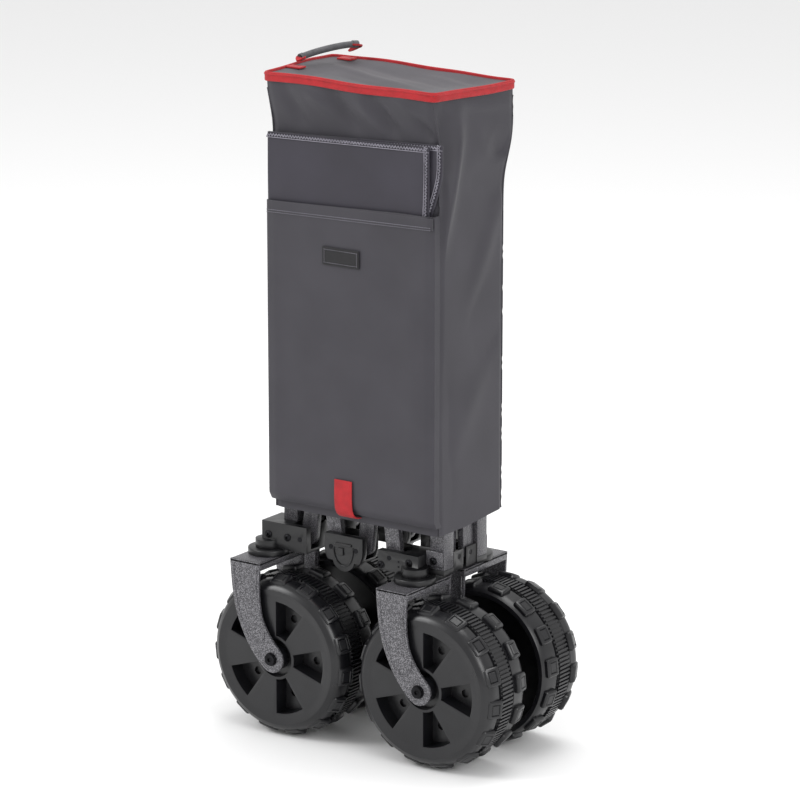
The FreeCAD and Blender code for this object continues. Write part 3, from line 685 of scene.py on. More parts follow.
@dataclass
class Wheel:
    """One moulded wheel, drawn about the Y axis with its outboard face towards -Y."""

    tread: float = 94 * MM
    overall: float = 100 * MM
    half: float = 40 * MM
    face: float = 38 * MM
    hub: float = 15 * MM
    hub_half: float = 42.7 * MM
    bore: float = 5.2 * MM
    dish: float = 84 * MM
    web_back: float = 12 * MM
    window_inner: float = 26 * MM
    window_outer: float = 71 * MM
    window_depth: float = 18 * MM
    windows: int = 5
    dimple: float = 5 * MM
    ribs: int = 120
    rib_height: float = 2.4 * MM
    knobs: int = 15
    knob_size: tuple[float, float, float] = (23 * MM, 20 * MM, 10 * MM)
    knob_place: float = 27 * MM
    knob_pivot: float = 19 * MM
    steps: int = 120

    def build(self) -> Piece:
        """Model the wheel once: turned body, windows with dimples, ribbed band and edge knobs.

        Returns:
            The wheel about its axle.
        """
        body = turned(self.section(), self.steps)
        self.sink_windows(body)
        self.drill_dimples(body)
        band = self.ribbed_band()
        knobs = [self.knob_ring(-1, 0), self.knob_ring(1, math.pi / self.knobs)]
        wheel = joined([body, band, *knobs], "wheel_model")
        smooth(wheel, 28)
        return wheel

    def section(self) -> list[tuple[float, float]]:
        """The wheel's section, from the hub's outboard end round the tread to the inboard dish.

        Returns:
            Its points, each a radius and a place along the axle.
        """
        tread, half, face, hub = self.tread, self.half, self.face, self.hub
        shoulder = [(tread - 14 * MM + 14 * MM * math.sin(a), -half + 16 * MM * (1 - math.cos(a)) + 0.3 * MM)
                    for a in (math.radians(d) for d in range(15, 91, 15))]
        return [
            (self.bore, -self.hub_half), (hub - 1 * MM, -self.hub_half), (hub, -self.hub_half + 1 * MM),
            (hub + 0.5 * MM, -face + 8 * MM), (hub + 7 * MM, -face + 8 * MM), (self.window_inner - 2 * MM, -face),
            (self.window_inner, -face), (0.5 * (self.window_inner + self.window_outer), -face),
            (self.window_outer, -face), (tread - 18 * MM, -face), (tread - 15 * MM, -face - 0.8 * MM),
            *shoulder,
            (tread, -17 * MM), (tread - 2.5 * MM, -15 * MM), (tread - 2.5 * MM, 13 * MM), (tread, 14 * MM),
            (tread, half - 9 * MM), (tread - 2 * MM, half - 3 * MM), (tread - 4 * MM, half),
            (self.dish + 1 * MM, half), (self.dish, half - 1 * MM), (self.dish - 1 * MM, -self.web_back + 4 * MM),
            (self.dish - 5 * MM, -self.web_back), (hub + 4 * MM, -self.web_back), (hub, -self.web_back + 4 * MM),
            (hub - 1 * MM, self.hub_half), (self.bore, self.hub_half),
        ]

    def sink_windows(self, body: Piece) -> None:
        """Sink the wedge windows into the outboard face, with a lip around each.

        Args:
            body: The turned wheel.
        """
        pitch = FULL_TURN / self.windows
        half_angle = pitch / 4

        def in_window(face: bpy.types.MeshPolygon) -> bool:
            """Say whether a face of the wheel lies in one of the windows.

            Args:
                face: A face of the turned wheel.

            Returns:
                True in a window.
            """
            reach = math.hypot(face.center.x, face.center.z)
            angle = (math.atan2(face.center.z, face.center.x) + pitch / 2) % pitch - pitch / 2
            level = abs(face.center.y + self.face) < 0.1 * MM
            return level and self.window_inner < reach < self.window_outer and abs(angle) < half_angle

        select_faces(body, in_window)
        bpy.ops.mesh.inset(thickness=1.2 * MM, depth=-0.5 * MM)
        bpy.ops.mesh.extrude_region_move(TRANSFORM_OT_translate={"value": (0, 0.6 * self.window_depth, 0)})
        bpy.ops.mesh.inset(thickness=1.5 * MM, depth=-0.4 * self.window_depth)
        leave_edit()

    def drill_dimples(self, body: Piece) -> None:
        """Cut a round dimple into each window's floor.

        Args:
            body: The turned wheel.
        """
        middle = 0.5 * (self.window_inner + self.window_outer)
        drills = []
        for number in range(self.windows):
            angle = FULL_TURN * number / self.windows
            bpy.ops.object.select_all(action="DESELECT")
            bpy.ops.mesh.primitive_cylinder_add(
                vertices=24, radius=self.dimple, depth=8 * MM, rotation=(math.pi / 2, 0, 0),
                location=(middle * math.cos(angle), -self.face + self.window_depth, middle * math.sin(angle)))
            drills.append(place_in_mesh(bpy.context.object))
        drill = joined(drills, "dimple_drill")
        apply_modifier(body, "BOOLEAN", operation="DIFFERENCE", object=drill, solver="EXACT")
        hide_away(drill)

    def ribbed_band(self) -> Piece:
        """The tread's middle band, with a fine cross rib on every other face.

        Returns:
            The band.
        """
        floor, top = self.tread - 3.0 * MM, self.tread - 0.5 * MM
        band = turned([(floor, -13 * MM), (top, -12 * MM), (top, 10 * MM), (floor, 11 * MM)], 2 * self.ribs)

        def on_rib(face: bpy.types.MeshPolygon) -> bool:
            """Say whether an outer face of the band is to stand up as a rib.

            Args:
                face: A face of the band.

            Returns:
                True on every other outer face.
            """
            angle = math.atan2(face.center.z, face.center.x) % (FULL_TURN / self.ribs)
            outside = math.hypot(face.center.x, face.center.z) > top - 0.3 * MM
            return outside and abs(face.center.y + 1 * MM) < 9 * MM and angle < FULL_TURN / self.ribs / 2

        select_faces(band, on_rib)
        bpy.ops.mesh.extrude_region_move()
        rise = (top + self.rib_height) / top
        bpy.ops.transform.resize(value=(rise, 0.97, rise), center_override=(0, -1 * MM, 0))
        leave_edit()
        return band

    def knob_ring(self, side: int, turn: float) -> Piece:
        """A ring of rounded knobs on one edge of the tread.

        Args:
            side: -1 for the outboard edge, 1 for the inboard one.
            turn: How far the ring is turned, in radians.

        Returns:
            The knobs as one piece.
        """
        size = Vector(self.knob_size)
        middle = Vector((0, side * self.knob_place, self.overall - size.z / 2))
        knob = rounded_block(middle, size, 3.6 * MM, 3)
        select_faces(knob, lambda face: face.normal.z > 0.998)
        bpy.ops.mesh.inset(thickness=0.6 * MM, depth=0)
        bpy.ops.mesh.inset(thickness=0.9 * MM, depth=-1.1 * MM)
        bpy.ops.mesh.inset(thickness=1.0 * MM, depth=0.9 * MM)
        leave_edit()
        # The outboard knobs lean well over the shoulder, and the inboard ones only a little.
        tilt = Matrix.Rotation(math.radians(24 if side < 0 else -8), 4, "X")
        centre = Matrix.Translation((0, side * self.knob_pivot, self.overall))
        knob.data.transform(centre @ tilt @ centre.inverted())
        ring = [moved_copy(knob, Matrix.Rotation(turn + FULL_TURN * number / self.knobs, 4, "Y"))
                for number in range(self.knobs)]
        hide_away(knob)
        return joined(ring, "knobs")


@dataclass
class Fork:
    """One pressed fork, drawn about its axle with Y across: two curved legs, a crown and its lip."""

    inner: float = 43 * MM
    plate: float = 3 * MM
    back: float = -60 * MM
    front: float = -16 * MM
    top: float = 116 * MM
    end: float = 17 * MM
    lip: float = 10 * MM
    lip_plate: float = 3 * MM
    crown_plate: float = 4 * MM
    bow: float = 3.3
    round_end: float = 0.25
    line_radius: float = 1.1 * MM
    line_inset: float = 0.8
    rows: int = 22

    def build(self) -> Piece:
        """Model the fork about its axle.

        Returns:
            The fork.
        """
        leg = self.leg()
        twin = moved_copy(leg, Matrix.Scale(-1, 4, Vector((0, 1, 0))))
        outer = self.inner + self.plate
        middle = (self.back + self.front) / 2
        crown = rounded_block(Vector((middle, 0, self.top - self.crown_plate / 2)),
                              Vector((self.front - self.back, 2 * outer, self.crown_plate)), 1.2 * MM)
        lip = rounded_block(Vector((self.front - self.lip_plate / 2, 0, self.top - self.lip / 2)),
                            Vector((self.lip_plate, 2 * outer - 1 * MM, self.lip)), 1.1 * MM)
        fork = joined([leg, twin, crown, lip], "fork_model")
        smooth(fork, 35)
        return fork

    def middle(self, along: float) -> Vector:
        """The leg's middle line at a share of the way from the crown down to the axle."""
        return Vector(((self.back + self.front) / 2 * (1 - along ** self.bow), 0, self.top * (1 - along)))

    def place(self, across: float, along: float) -> Vector:
        """A point of the leg.

        Args:
            across: -1 at its rear edge, 1 at its front edge.
            along: 0 at the crown, 1 at the axle; up to 2 round the end.

        Returns:
            The point, in the plane of the leg.
        """
        step = 0.01
        shaft = max(step, min(along, 1.0))
        run = (self.middle(shaft) - self.middle(shaft - step)).normalized()
        normal = Vector((-run.z, 0, run.x))
        width = (self.front - self.back) / 2
        half = width + (self.end - width) * min(1.0, 1.5 * shaft)
        if along <= 1:
            return self.middle(along) + normal * across * half
        angle = (along - 1) * math.pi / 2
        return self.middle(1.0) + normal * across * half * math.cos(angle) + run * half * math.sin(angle)

    def leg(self) -> Piece:
        """One leg: a plate that bows down to a round end, with a pressed line inside its edge.

        Returns:
            The leg on the side of -Y.
        """
        bpy.ops.object.select_all(action="DESELECT")
        bpy.ops.mesh.primitive_grid_add(x_subdivisions=6, y_subdivisions=self.rows, size=2)
        leg = place_in_mesh(bpy.context.object)
        for vertex in leg.data.vertices:
            share = (1 - vertex.co.y) / 2
            straight = 1 - self.round_end
            along = share / straight if share < straight else 1 + (share - straight) / self.round_end * 0.94
            vertex.co = self.place(vertex.co.x, along) - Vector((0, self.inner, 0))
        if leg.data.polygons[0].normal.y > 0:
            leg.data.flip_normals()
        apply_modifier(leg, "SOLIDIFY", thickness=self.plate, offset=1)
        outward(leg)
        apply_modifier(leg, "BEVEL", width=1.0 * MM, segments=2, limit_method="ANGLE",
                       angle_limit=math.radians(50))
        face = -self.inner - self.plate
        stations = (0.08, 0.25, 0.42, 0.58, 0.72, 0.8)
        down = [self.place(-self.line_inset, along) for along in stations]
        back = [self.place(self.line_inset, along) for along in reversed(stations)]
        route = [point + Vector((0, face, 0)) for point in (*down, self.place(0, 0.86), *back)]
        line = tube_along("pressed_line", route, self.line_radius, steps=5)
        return joined([leg, line], "leg")


@dataclass
class Bolt:
    """A button-head socket screw, drawn with its head's seat at the origin and its head towards -Y."""

    head: float = 7 * MM
    height: float = 4 * MM
    socket: float = 2.6 * MM
    socket_depth: float = 1.6 * MM
    washer_reach: float = 1.2 * MM
    washer: float = 0.8 * MM

    def build(self) -> Piece:
        """Model the head: a turned dome with a hexagonal socket.

        Returns:
            The bolt's head and washer.
        """
        dome = [(0.4 * MM + self.head * math.cos(a), -self.height * math.sin(a))
                for a in (math.radians(d) for d in (0, 20, 40, 55, 68))]
        head = turned([(self.head - 0.2 * MM, 0), *dome, (self.socket * 1.2, -self.height)], 36, closed=False)
        bpy.ops.object.select_all(action="DESELECT")
        bpy.ops.mesh.primitive_circle_add(vertices=6, radius=self.socket, fill_type="NGON",
                                          location=(0, -self.height + self.socket_depth, 0),
                                          rotation=(math.pi / 2, 0, 0))
        floor = place_in_mesh(bpy.context.object)
        select_faces(floor, lambda face: True)
        bpy.ops.mesh.extrude_region_move(TRANSFORM_OT_translate={"value": (0, -self.socket_depth, 0)})
        bpy.ops.mesh.delete(type="ONLY_FACE")
        leave_edit()
        ring = turned([(self.socket * 1.2, -self.height), (self.socket * 0.98, -self.height + 0.02 * MM)], 36,
                      closed=False)
        inner, outer = self.head - 0.2 * MM, self.head + self.washer_reach
        washer = turned([(inner, 0), (outer, 0), (outer, -self.washer), (inner, -self.washer)], 36)
        bolt = joined([head, floor, ring, washer], "bolt_model")
        smooth(bolt, 30)
        return bolt


@dataclass
class RunningGear:
    """The four wheels in their forks, placed from the CAD nodes that they stand for."""

    finishes: Finishes

    def build(self) -> None:
        """Place copies of one wheel, one fork and one bolt head at each corner."""
        wheel, fork, bolt = Wheel().build(), Fork().build(), Bolt().build()
        for end in ("front", "rear"):
            for side, turn in (("near", 0.0), ("far", math.pi)):
                corner = f"{end}_{side}"
                low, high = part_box(f"wheel_{corner}")
                axle = (low + high) / 2
                low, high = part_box(f"fork_{corner}")
                across = (low.y + high.y) / 2
                spin = Matrix.Rotation(turn, 4, "Z")
                piece = moved_copy(wheel, Matrix.Translation((axle.x, across, axle.z)) @ spin)
                piece.name = f"wheel_{corner}_look"
                settle(piece, f"wheel_{corner}_body", self.finishes.wheel, "wheel_plastic", f"wheel_{corner}")
                body = f"caster_{side}" if end == "front" else "frame"
                piece = moved_copy(fork, Matrix.Translation((axle.x, across, axle.z)))
                piece.name = f"fork_{corner}_look"
                settle(piece, body, self.finishes.fork, "hammered_paint", f"fork_{corner}")
                reach = (high.y - low.y) / 2 + 0.4 * MM
                seat = Matrix.Translation((axle.x, across, axle.z)) @ spin @ Matrix.Translation((0, -reach, 0))
                piece = moved_copy(bolt, seat)
                piece.name = f"axle_head_{corner}"
                settle(piece, body, self.finishes.bolt, "black_steel")
        hide_away(wheel, fork, bolt)


# ---------------------------------------------------------------- frame

@dataclass
class FrameParts:
    """The folded frame: CAD nodes with their edges rounded, plus small screws and moulded details."""

    finishes: Finishes
    nodes: dict[str, Piece]
    casting_edge: float = 1.2 * MM
    grip_edge: float = 5 * MM
    clip_edge: float = 1 * MM
    bar_edge: float = 1.6 * MM
    shield_depth: float = 60 * MM
    shield_height: float = 50 * MM
    screw_span: float = 12 * MM
    guard_outline: tuple[tuple[float, float], ...] = ((-14, 16), (-14, 28), (-4, 38), (8, 36), (14, 24), (14, 14))
    rivet_place: float = 38 * MM
    tub_stack: float = 42 * MM
    tub_gap: float = 26 * MM
    pleat: float = 9 * MM

    def build(self) -> None:
        """Dress every CAD node of the frame and add the details that are too small for it."""
        castings = ("corner_bracket", "centre_bracket", "top_yoke", "slider", "handle_bracket", "post_caps",
                    "swivel_bearing", "fork_spacers")
        for name, node in self.nodes.items():
            if name.startswith(castings):
                self.rounded(name, self.finishes.casting, "black_plastic", self.casting_edge)
            elif name.startswith("handle_grip"):
                self.rounded(name, self.finishes.grip, "grip_rubber", self.grip_edge)
            elif name.startswith("post_clips"):
                self.rounded(name, self.finishes.tube, "grey_steel", self.clip_edge)
            elif name.startswith(("post_", "side_bar", "end_bars")):
                self.rounded(name, self.finishes.tube, "grey_steel", self.bar_edge)
            elif name.startswith(("handle_outer", "handle_inner")):
                self.dress(node, self.finishes.tube)
            elif name.startswith(("axle_bolt", "swivel_bolts", "frame_rivets")):
                self.dress(node, self.finishes.bolt)
        self.screws()
        self.latch()
        self.tub()

    def dress(self, node: Piece, finish: Material) -> None:
        """Give a CAD node its finish."""
        node.data.materials.clear()
        node.data.materials.append(finish)

    def rounded(self, name: str, finish: Material, slot: str, round_by: float) -> None:
        """Replace a CAD node with a copy whose edges are rounded.

        Args:
            name: The node.
            finish: Its material.
            slot: The record's slot.
            round_by: The edges' radius.
        """
        node = self.nodes[name]
        copy = moved_copy(node, Matrix.Identity(4))
        copy.parent = None
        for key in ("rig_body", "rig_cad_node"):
            del copy[key]
        copy.name = f"{name}_look"
        outward(copy)
        if name.startswith("centre_bracket"):
            self.cut_to_shield(copy, name)
        edit_all(copy)
        bpy.ops.mesh.dissolve_limited(angle_limit=math.radians(1))
        leave_edit()
        apply_modifier(copy, "BEVEL", width=round_by, segments=2, limit_method="ANGLE",
                       angle_limit=math.radians(40), use_clamp_overlap=True)
        smooth(copy, 35)
        settle(copy, body_of(node)[0], finish, slot, name)

    def cut_to_shield(self, bracket: Piece, name: str) -> None:
        """Trim a centre bracket's lower corners to a half round.

        Args:
            bracket: The copy of the CAD node.
            name: The node.
        """
        low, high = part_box(name)
        middle = (low + high) / 2
        radius = (high.x - low.x) / 2 - 0.5 * MM
        centre = low.z + radius
        bpy.ops.object.select_all(action="DESELECT")
        bpy.ops.mesh.primitive_cylinder_add(vertices=64, radius=radius, depth=self.shield_depth,
                                            rotation=(math.pi / 2, 0, 0), location=(middle.x, middle.y, centre))
        bowl = place_in_mesh(bpy.context.object)
        bpy.ops.object.select_all(action="DESELECT")
        bpy.ops.mesh.primitive_cube_add(size=1, location=(middle.x, middle.y, centre + self.shield_height / 2))
        block = bpy.context.object
        block.scale = (2 * radius, self.shield_depth, self.shield_height)
        place_in_mesh(block)
        apply_modifier(bowl, "BOOLEAN", operation="UNION", object=block, solver="EXACT")
        apply_modifier(bracket, "BOOLEAN", operation="INTERSECT", object=bowl, solver="EXACT")
        hide_away(bowl, block)

    def screws(self) -> None:
        """Socket screws on the brackets' outer faces, in place of the plain CAD heads."""
        model = Bolt(head=3.6 * MM, height=2.2 * MM, socket=1.6 * MM).build()
        heads = []
        node = self.nodes["bracket_screws"]
        centres: list[Vector] = []
        for vertex in node.data.vertices:
            if all((centre - vertex.co).length >= self.screw_span for centre in centres):
                centres.append(vertex.co.copy())
        for centre in centres:
            around = [v.co for v in node.data.vertices if (v.co - centre).length < self.screw_span]
            x = (min(v.x for v in around) + max(v.x for v in around)) / 2
            z = (min(v.z for v in around) + max(v.z for v in around)) / 2
            side = 1 if centre.y > 0 else -1
            seat = min(abs(v.y) for v in around) * side
            turn = Matrix.Rotation(math.pi if side > 0 else 0, 4, "Z")
            heads.append(moved_copy(model, Matrix.Translation((x, seat, z)) @ turn))
        hide_away(model)
        settle(joined(heads, "bracket_screw_heads"), "frame", self.finishes.bolt, "black_steel", "bracket_screws")

    def latch(self) -> None:
        """The release slot, its tongue and the moulded ribs on the centre and rear brackets."""
        for side, name in ((-1, "near"), (1, "far")):
            low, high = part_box(f"centre_bracket_{name}")
            face = low.y if side < 0 else high.y
            middle = (low.x + high.x) / 2
            top = high.z
            bar = rounded_block(Vector((middle, face + side * 0.6 * MM, top - 11 * MM)),
                                Vector((24 * MM, 2.4 * MM, 3 * MM)), 0.9 * MM)
            key = rounded_block(Vector((middle - 4 * MM, face + side * 0.8 * MM, top - 20 * MM)),
                                Vector((9 * MM, 3 * MM, 9 * MM)), 1.2 * MM)
            outline = [Vector((middle + x * MM, face + side * 0.5 * MM, top - z * MM))
                       for x, z in self.guard_outline]
            guard = tube_along("latch_guard", outline, 1.1 * MM)
            settle(joined([bar, key, guard], f"latch_{name}"), "frame", self.finishes.casting, "black_plastic")
            low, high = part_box(f"corner_bracket_rear_{name}")
            face = low.y if side < 0 else high.y
            dots = []
            for height in (6 * MM, 12 * MM, 18 * MM):
                place = Vector((low.x + self.rivet_place, face + side * 0.2 * MM, low.z + height))
                dots.append(rounded_block(place, Vector((2.2 * MM, 1.6 * MM, 2.2 * MM)), 0.7 * MM, 2))
            settle(joined(dots, f"rivet_dots_{name}"), "frame", self.finishes.bolt, "black_steel")

    def tub(self) -> None:
        """The folded cloth tub: two stacks of soft pleats between the bars."""
        low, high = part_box("tub_fabric")
        stacks = []
        for start, end in ((low.x, low.x + self.tub_stack), (low.x + self.tub_stack + self.tub_gap, high.x)):
            pleats = max(3, int((end - start) / self.pleat))
            width = (end - start) / pleats
            for number in range(pleats):
                centre = Vector((start + (number + 0.5) * width, (low.y + high.y) / 2, (low.z + high.z) / 2))
                size = Vector((width * 0.94, high.y - low.y, high.z - low.z))
                stacks.append(rounded_block(centre, size, 3.6 * MM, 3))
        tub = joined(stacks, "tub_folded")
        edit_all(tub)
        bpy.ops.mesh.subdivide(number_cuts=3)
        leave_edit()
        for vertex in tub.data.vertices:
            vertex.co.y += noise.noise(vertex.co * 18) * 1.6 * MM
        smooth(tub, 60)
        settle(tub, "frame", self.finishes.tub, "tub_cloth", "tub_fabric")


# ---------------------------------------------------------------- cloth cover

@dataclass(frozen=True)
class Crease:
    """A soft ridge or valley along a straight line on a cloth panel, fading at both ends."""

    start: tuple[float, float]
    end: tuple[float, float]
    height: float
    width: float

    def lift(self, across: float, up: float) -> float:
        """How far the crease lifts a point of the panel.

        Args:
            across: The point's place across the panel, in metres.
            up: Its height in metres.

        Returns:
            The lift in metres.
        """
        ax, ay = self.start
        bx, by = self.end
        length = math.hypot(bx - ax, by - ay)
        share = ((across - ax) * (bx - ax) + (up - ay) * (by - ay)) / length ** 2
        held = min(1.0, max(0.0, share))
        gap = math.hypot(across - ax - held * (bx - ax), up - ay - held * (by - ay))
        fade = 0.35 + 0.65 * math.sin(math.pi * held)
        return self.height * fade * math.exp(-(gap / self.width) ** 2)


def smoothstep(low: float, high: float, value: float) -> float:
    """A soft step from 0 at low to 1 at high."""
    share = min(1.0, max(0.0, (value - low) / (high - low)))
    return share * share * (3 - 2 * share)


@dataclass
class Cover:
    """The slip-over cloth cover: walls, pocket, mat, lid, binding, label, pull tab and stitching."""

    finishes: Finishes
    front_narrowing: float = 9 * MM
    wall_cloth: float = 1.6 * MM
    panel_cloth: float = 1.5 * MM
    corner_round: float = 12 * MM
    corner_cut: float = 2.2 * MM
    top_swell: float = 8 * MM
    pocket_return: float = 11 * MM
    mat_cloth: float = 3.2 * MM
    mat_front_right: float = 97 * MM
    mat_lean: float = 22 * MM
    overlock_depth: float = 6 * MM
    overlock_pitch: float = 2 * MM
    lid_reach_right: float = 8 * MM
    lid_reach_back: float = 6 * MM
    lid_slack: float = 3.5 * MM
    strap_radius: float = 4.5 * MM
    strap_run: tuple[float, float, float] = (11 * MM, 88 * MM, 0)
    strap_lean: float = 17 * MM
    anchor_size: tuple[float, float, float] = (20 * MM, 14 * MM, 2.2 * MM)

    def __post_init__(self) -> None:
        """Read the cover's box and its pieces' places from the frame."""
        self.low, self.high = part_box("cover_body")
        self.pocket_low, self.pocket_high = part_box("front_pocket")
        self.mat_low, self.mat_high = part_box("floor_mat")
        self.lid_low, self.lid_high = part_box("cover_lid")
        self.left_at_front = self.low.x + self.front_narrowing

    def build(self) -> None:
        """Build every piece of the cover."""
        self.walls()
        self.pocket()
        self.mat()
        self.lid()
        self.binding()
        self.label()
        self.pull_tab()
        self.carry_strap()

    def left_edge(self, y: float) -> float:
        """The left wall's X at a depth Y; the cover narrows towards its front."""
        share = (y - self.low.y) / (self.high.y - self.low.y)
        return self.left_at_front + (self.low.x - self.left_at_front) * smoothstep(0, 1, share)

    def front_plane(self, z: float) -> float:
        """The front wall's Y at a height: behind the mat low down, in line with the pocket above it."""
        inner = self.mat_high.y + 0.5 * MM
        return inner + (self.low.y - inner) * smoothstep(self.mat_high.z - 6 * MM, self.mat_high.z + 52 * MM, z)

    def walls(self) -> None:
        """The four walls as one soft shell with its creases, seams and turned hem."""
        bpy.ops.object.select_all(action="DESELECT")
        bpy.ops.mesh.primitive_cube_add(size=1, location=(self.low + self.high) / 2)
        shell = bpy.context.object
        shell.scale = self.high - self.low
        place_in_mesh(shell)
        select_faces(shell, lambda face: abs(face.normal.z) > 0.9)
        bpy.ops.mesh.delete(type="FACE")
        bpy.ops.mesh.select_all(action="SELECT")
        bpy.ops.mesh.subdivide(number_cuts=79)
        leave_edit()
        corner_lines = self.corner_lines(shell)
        creases = self.wall_creases()
        for vertex in shell.data.vertices:
            self.shape_wall(vertex, creases)
        seam_lines = [[shell.data.vertices[number].co.copy() for number in line] for line in corner_lines]
        apply_modifier(shell, "SOLIDIFY", thickness=self.wall_cloth, offset=-1)
        smooth(shell, 50)
        shell.name = "cover_walls"
        settle(shell, "cover", self.finishes.cover, "cover_cloth", "cover_body")
        seam = joined([tube_along("seam", line, 0.9 * MM, steps=2) for line in seam_lines], "corner_seams")
        smooth(seam, 60)
        settle(seam, "cover", self.finishes.cover, "cover_cloth")

    def wall_creases(self) -> dict[str, list[Crease]]:
        """The ridges and valleys of each wall, most of them under the lid where the cloth is slack.

        Returns:
            The creases of each wall, by its name.
        """
        top = self.high.z
        return {
            "right": [
                Crease((-0.030, top - 0.020), (-0.072, top - 0.170), 10.0 * MM, 15 * MM),
                Crease((-0.064, top - 0.020), (-0.070, top - 0.110), -7.0 * MM, 11 * MM),
                Crease((-0.060, top - 0.012), (0.060, top - 0.022), 3.0 * MM, 6 * MM),
                Crease((0.074, top - 0.095), (0.030, top - 0.060), -6.0 * MM, 15 * MM),
                Crease((0.074, top - 0.120), (-0.010, top - 0.260), 3.0 * MM, 16 * MM),
                Crease((0.074, top - 0.235), (0.020, top - 0.330), -4.0 * MM, 18 * MM),
                Crease((0.060, top - 0.290), (-0.040, top - 0.420), 2.5 * MM, 20 * MM),
                Crease((-0.060, top - 0.330), (-0.050, top - 0.480), -2.0 * MM, 14 * MM),
            ],
            "front": [
                Crease((-0.118, top - 0.004), (-0.090, top - 0.052), -4.5 * MM, 9 * MM),
                Crease((-0.085, top - 0.008), (-0.050, top - 0.030), 4.0 * MM, 8 * MM),
                Crease((-0.048, top - 0.004), (-0.010, top - 0.050), -6.5 * MM, 9 * MM),
                Crease((-0.012, top - 0.006), (0.020, top - 0.044), 4.5 * MM, 8 * MM),
                Crease((0.014, top - 0.010), (0.046, top - 0.052), -7.0 * MM, 9 * MM),
                Crease((0.050, top - 0.004), (0.090, top - 0.034), 4.5 * MM, 9 * MM),
                Crease((0.070, top - 0.022), (0.099, top - 0.054), -6.0 * MM, 8 * MM),
            ],
            "back": [
                Crease((-0.09, top - 0.05), (-0.02, top - 0.26), 3.0 * MM, 18 * MM),
                Crease((0.06, top - 0.03), (0.01, top - 0.20), -3.0 * MM, 16 * MM),
                Crease((0.08, top - 0.20), (0.02, top - 0.44), 2.6 * MM, 20 * MM),
                Crease((-0.05, top - 0.28), (-0.10, top - 0.46), -2.4 * MM, 18 * MM),
            ],
            "left": [
                Crease((0.05, top - 0.04), (0.00, top - 0.20), 2.0 * MM, 15 * MM),
                Crease((-0.02, top - 0.14), (0.02, top - 0.30), -1.6 * MM, 15 * MM),
                Crease((0.06, top - 0.25), (-0.02, top - 0.42), 2.6 * MM, 18 * MM),
            ],
        }

    def corner_lines(self, shell: Piece) -> list[list[int]]:
        """Follow the corners of the plain box shell.

        Args:
            shell: The shell before it is shaped.

        Returns:
            The numbers of every third vertex up each corner.
        """
        lines = []
        for x in (self.low.x, self.high.x):
            for y in (self.low.y, self.high.y):
                line = [v.index for v in shell.data.vertices if abs(v.co.x - x) < 1e-5 and abs(v.co.y - y) < 1e-5]
                lines.append(sorted(line, key=lambda number: shell.data.vertices[number].co.z)[::3])
        return lines

    def shape_wall(self, vertex: bpy.types.MeshVertex, creases: dict[str, list[Crease]]) -> None:
        """Move one point of the plain box shell to its place on the soft cover.

        Args:
            vertex: The point.
            creases: The creases of each wall, by its name.
        """
        x, y, z = vertex.co
        edge = self.corner_round
        on_right, on_left = x > self.high.x - 1e-5, x < self.low.x + 1e-5
        on_front, on_back = y < self.low.y + 1e-5, y > self.high.y - 1e-5
        top = self.high.z
        share_x = (x - self.low.x) / (self.high.x - self.low.x)
        share_y = (y - self.low.y) / (self.high.y - self.low.y)
        inset_x = smoothstep(0, edge, min(x - self.low.x, self.high.x - x))
        inset_y = smoothstep(0, edge, min(y - self.low.y, self.high.y - y))
        front_y = self.front_plane(z)
        new_y = front_y + (self.high.y - front_y) * share_y
        left_x = self.left_edge(new_y)
        new_x = left_x + (self.high.x - left_x) * share_x
        sway = noise.noise(Vector((x * 9, y * 9, z * 7))) * 1.6 * MM
        swell = self.top_swell * smoothstep(top - 0.125, top - 0.055, z)
        pinch = 3.5 * MM * math.exp(-((z - top + 0.115) / 0.022) ** 2)
        low_pinch = 3.0 * MM * math.exp(-((z - top + 0.262) / 0.035) ** 2)
        if on_right:
            lift = sum(c.lift(y, z) for c in creases["right"]) + sway
            post_room = -1.2 * MM if z < top - 85 * MM else -12 * MM
            lift = max(lift - (pinch + low_pinch) * smoothstep(0.1, 0.9, share_y), post_room)
            new_x += lift * inset_y + swell * smoothstep(0.1, 0.9, share_y)
        if on_left:
            new_x -= (sum(c.lift(y, z) for c in creases["left"]) + sway + 2 * MM) * inset_y
        if on_front:
            shown = smoothstep(self.mat_high.z - 5 * MM, self.mat_high.z + 10 * MM, z)
            new_y -= (sum(c.lift(x, z) for c in creases["front"]) * shown + 0.3 * sway) * inset_x
        if on_back:
            new_y += (sum(c.lift(x, z) for c in creases["back"]) + sway) * inset_x
        new_y += 0.9 * swell * smoothstep(0.5, 1.0, share_x) * smoothstep(0.3, 1.0, share_y)
        corner = (1 - inset_x) * (1 - inset_y)
        new_x -= (1 if share_x > 0.5 else -1) * self.corner_cut * corner
        new_y -= (1 if share_y > 0.5 else -1) * self.corner_cut * corner
        fall = self.corner_fall(share_x, share_y) * smoothstep(top - 0.06, top, z)
        hem = smoothstep(self.low.z + 0.02, self.low.z, z)
        rise = 5 * MM * hem * smoothstep(0.3, 1.0, share_y) * smoothstep(0.8, 1.0, share_x)
        vertex.co = (new_x, new_y, z - fall + rise)

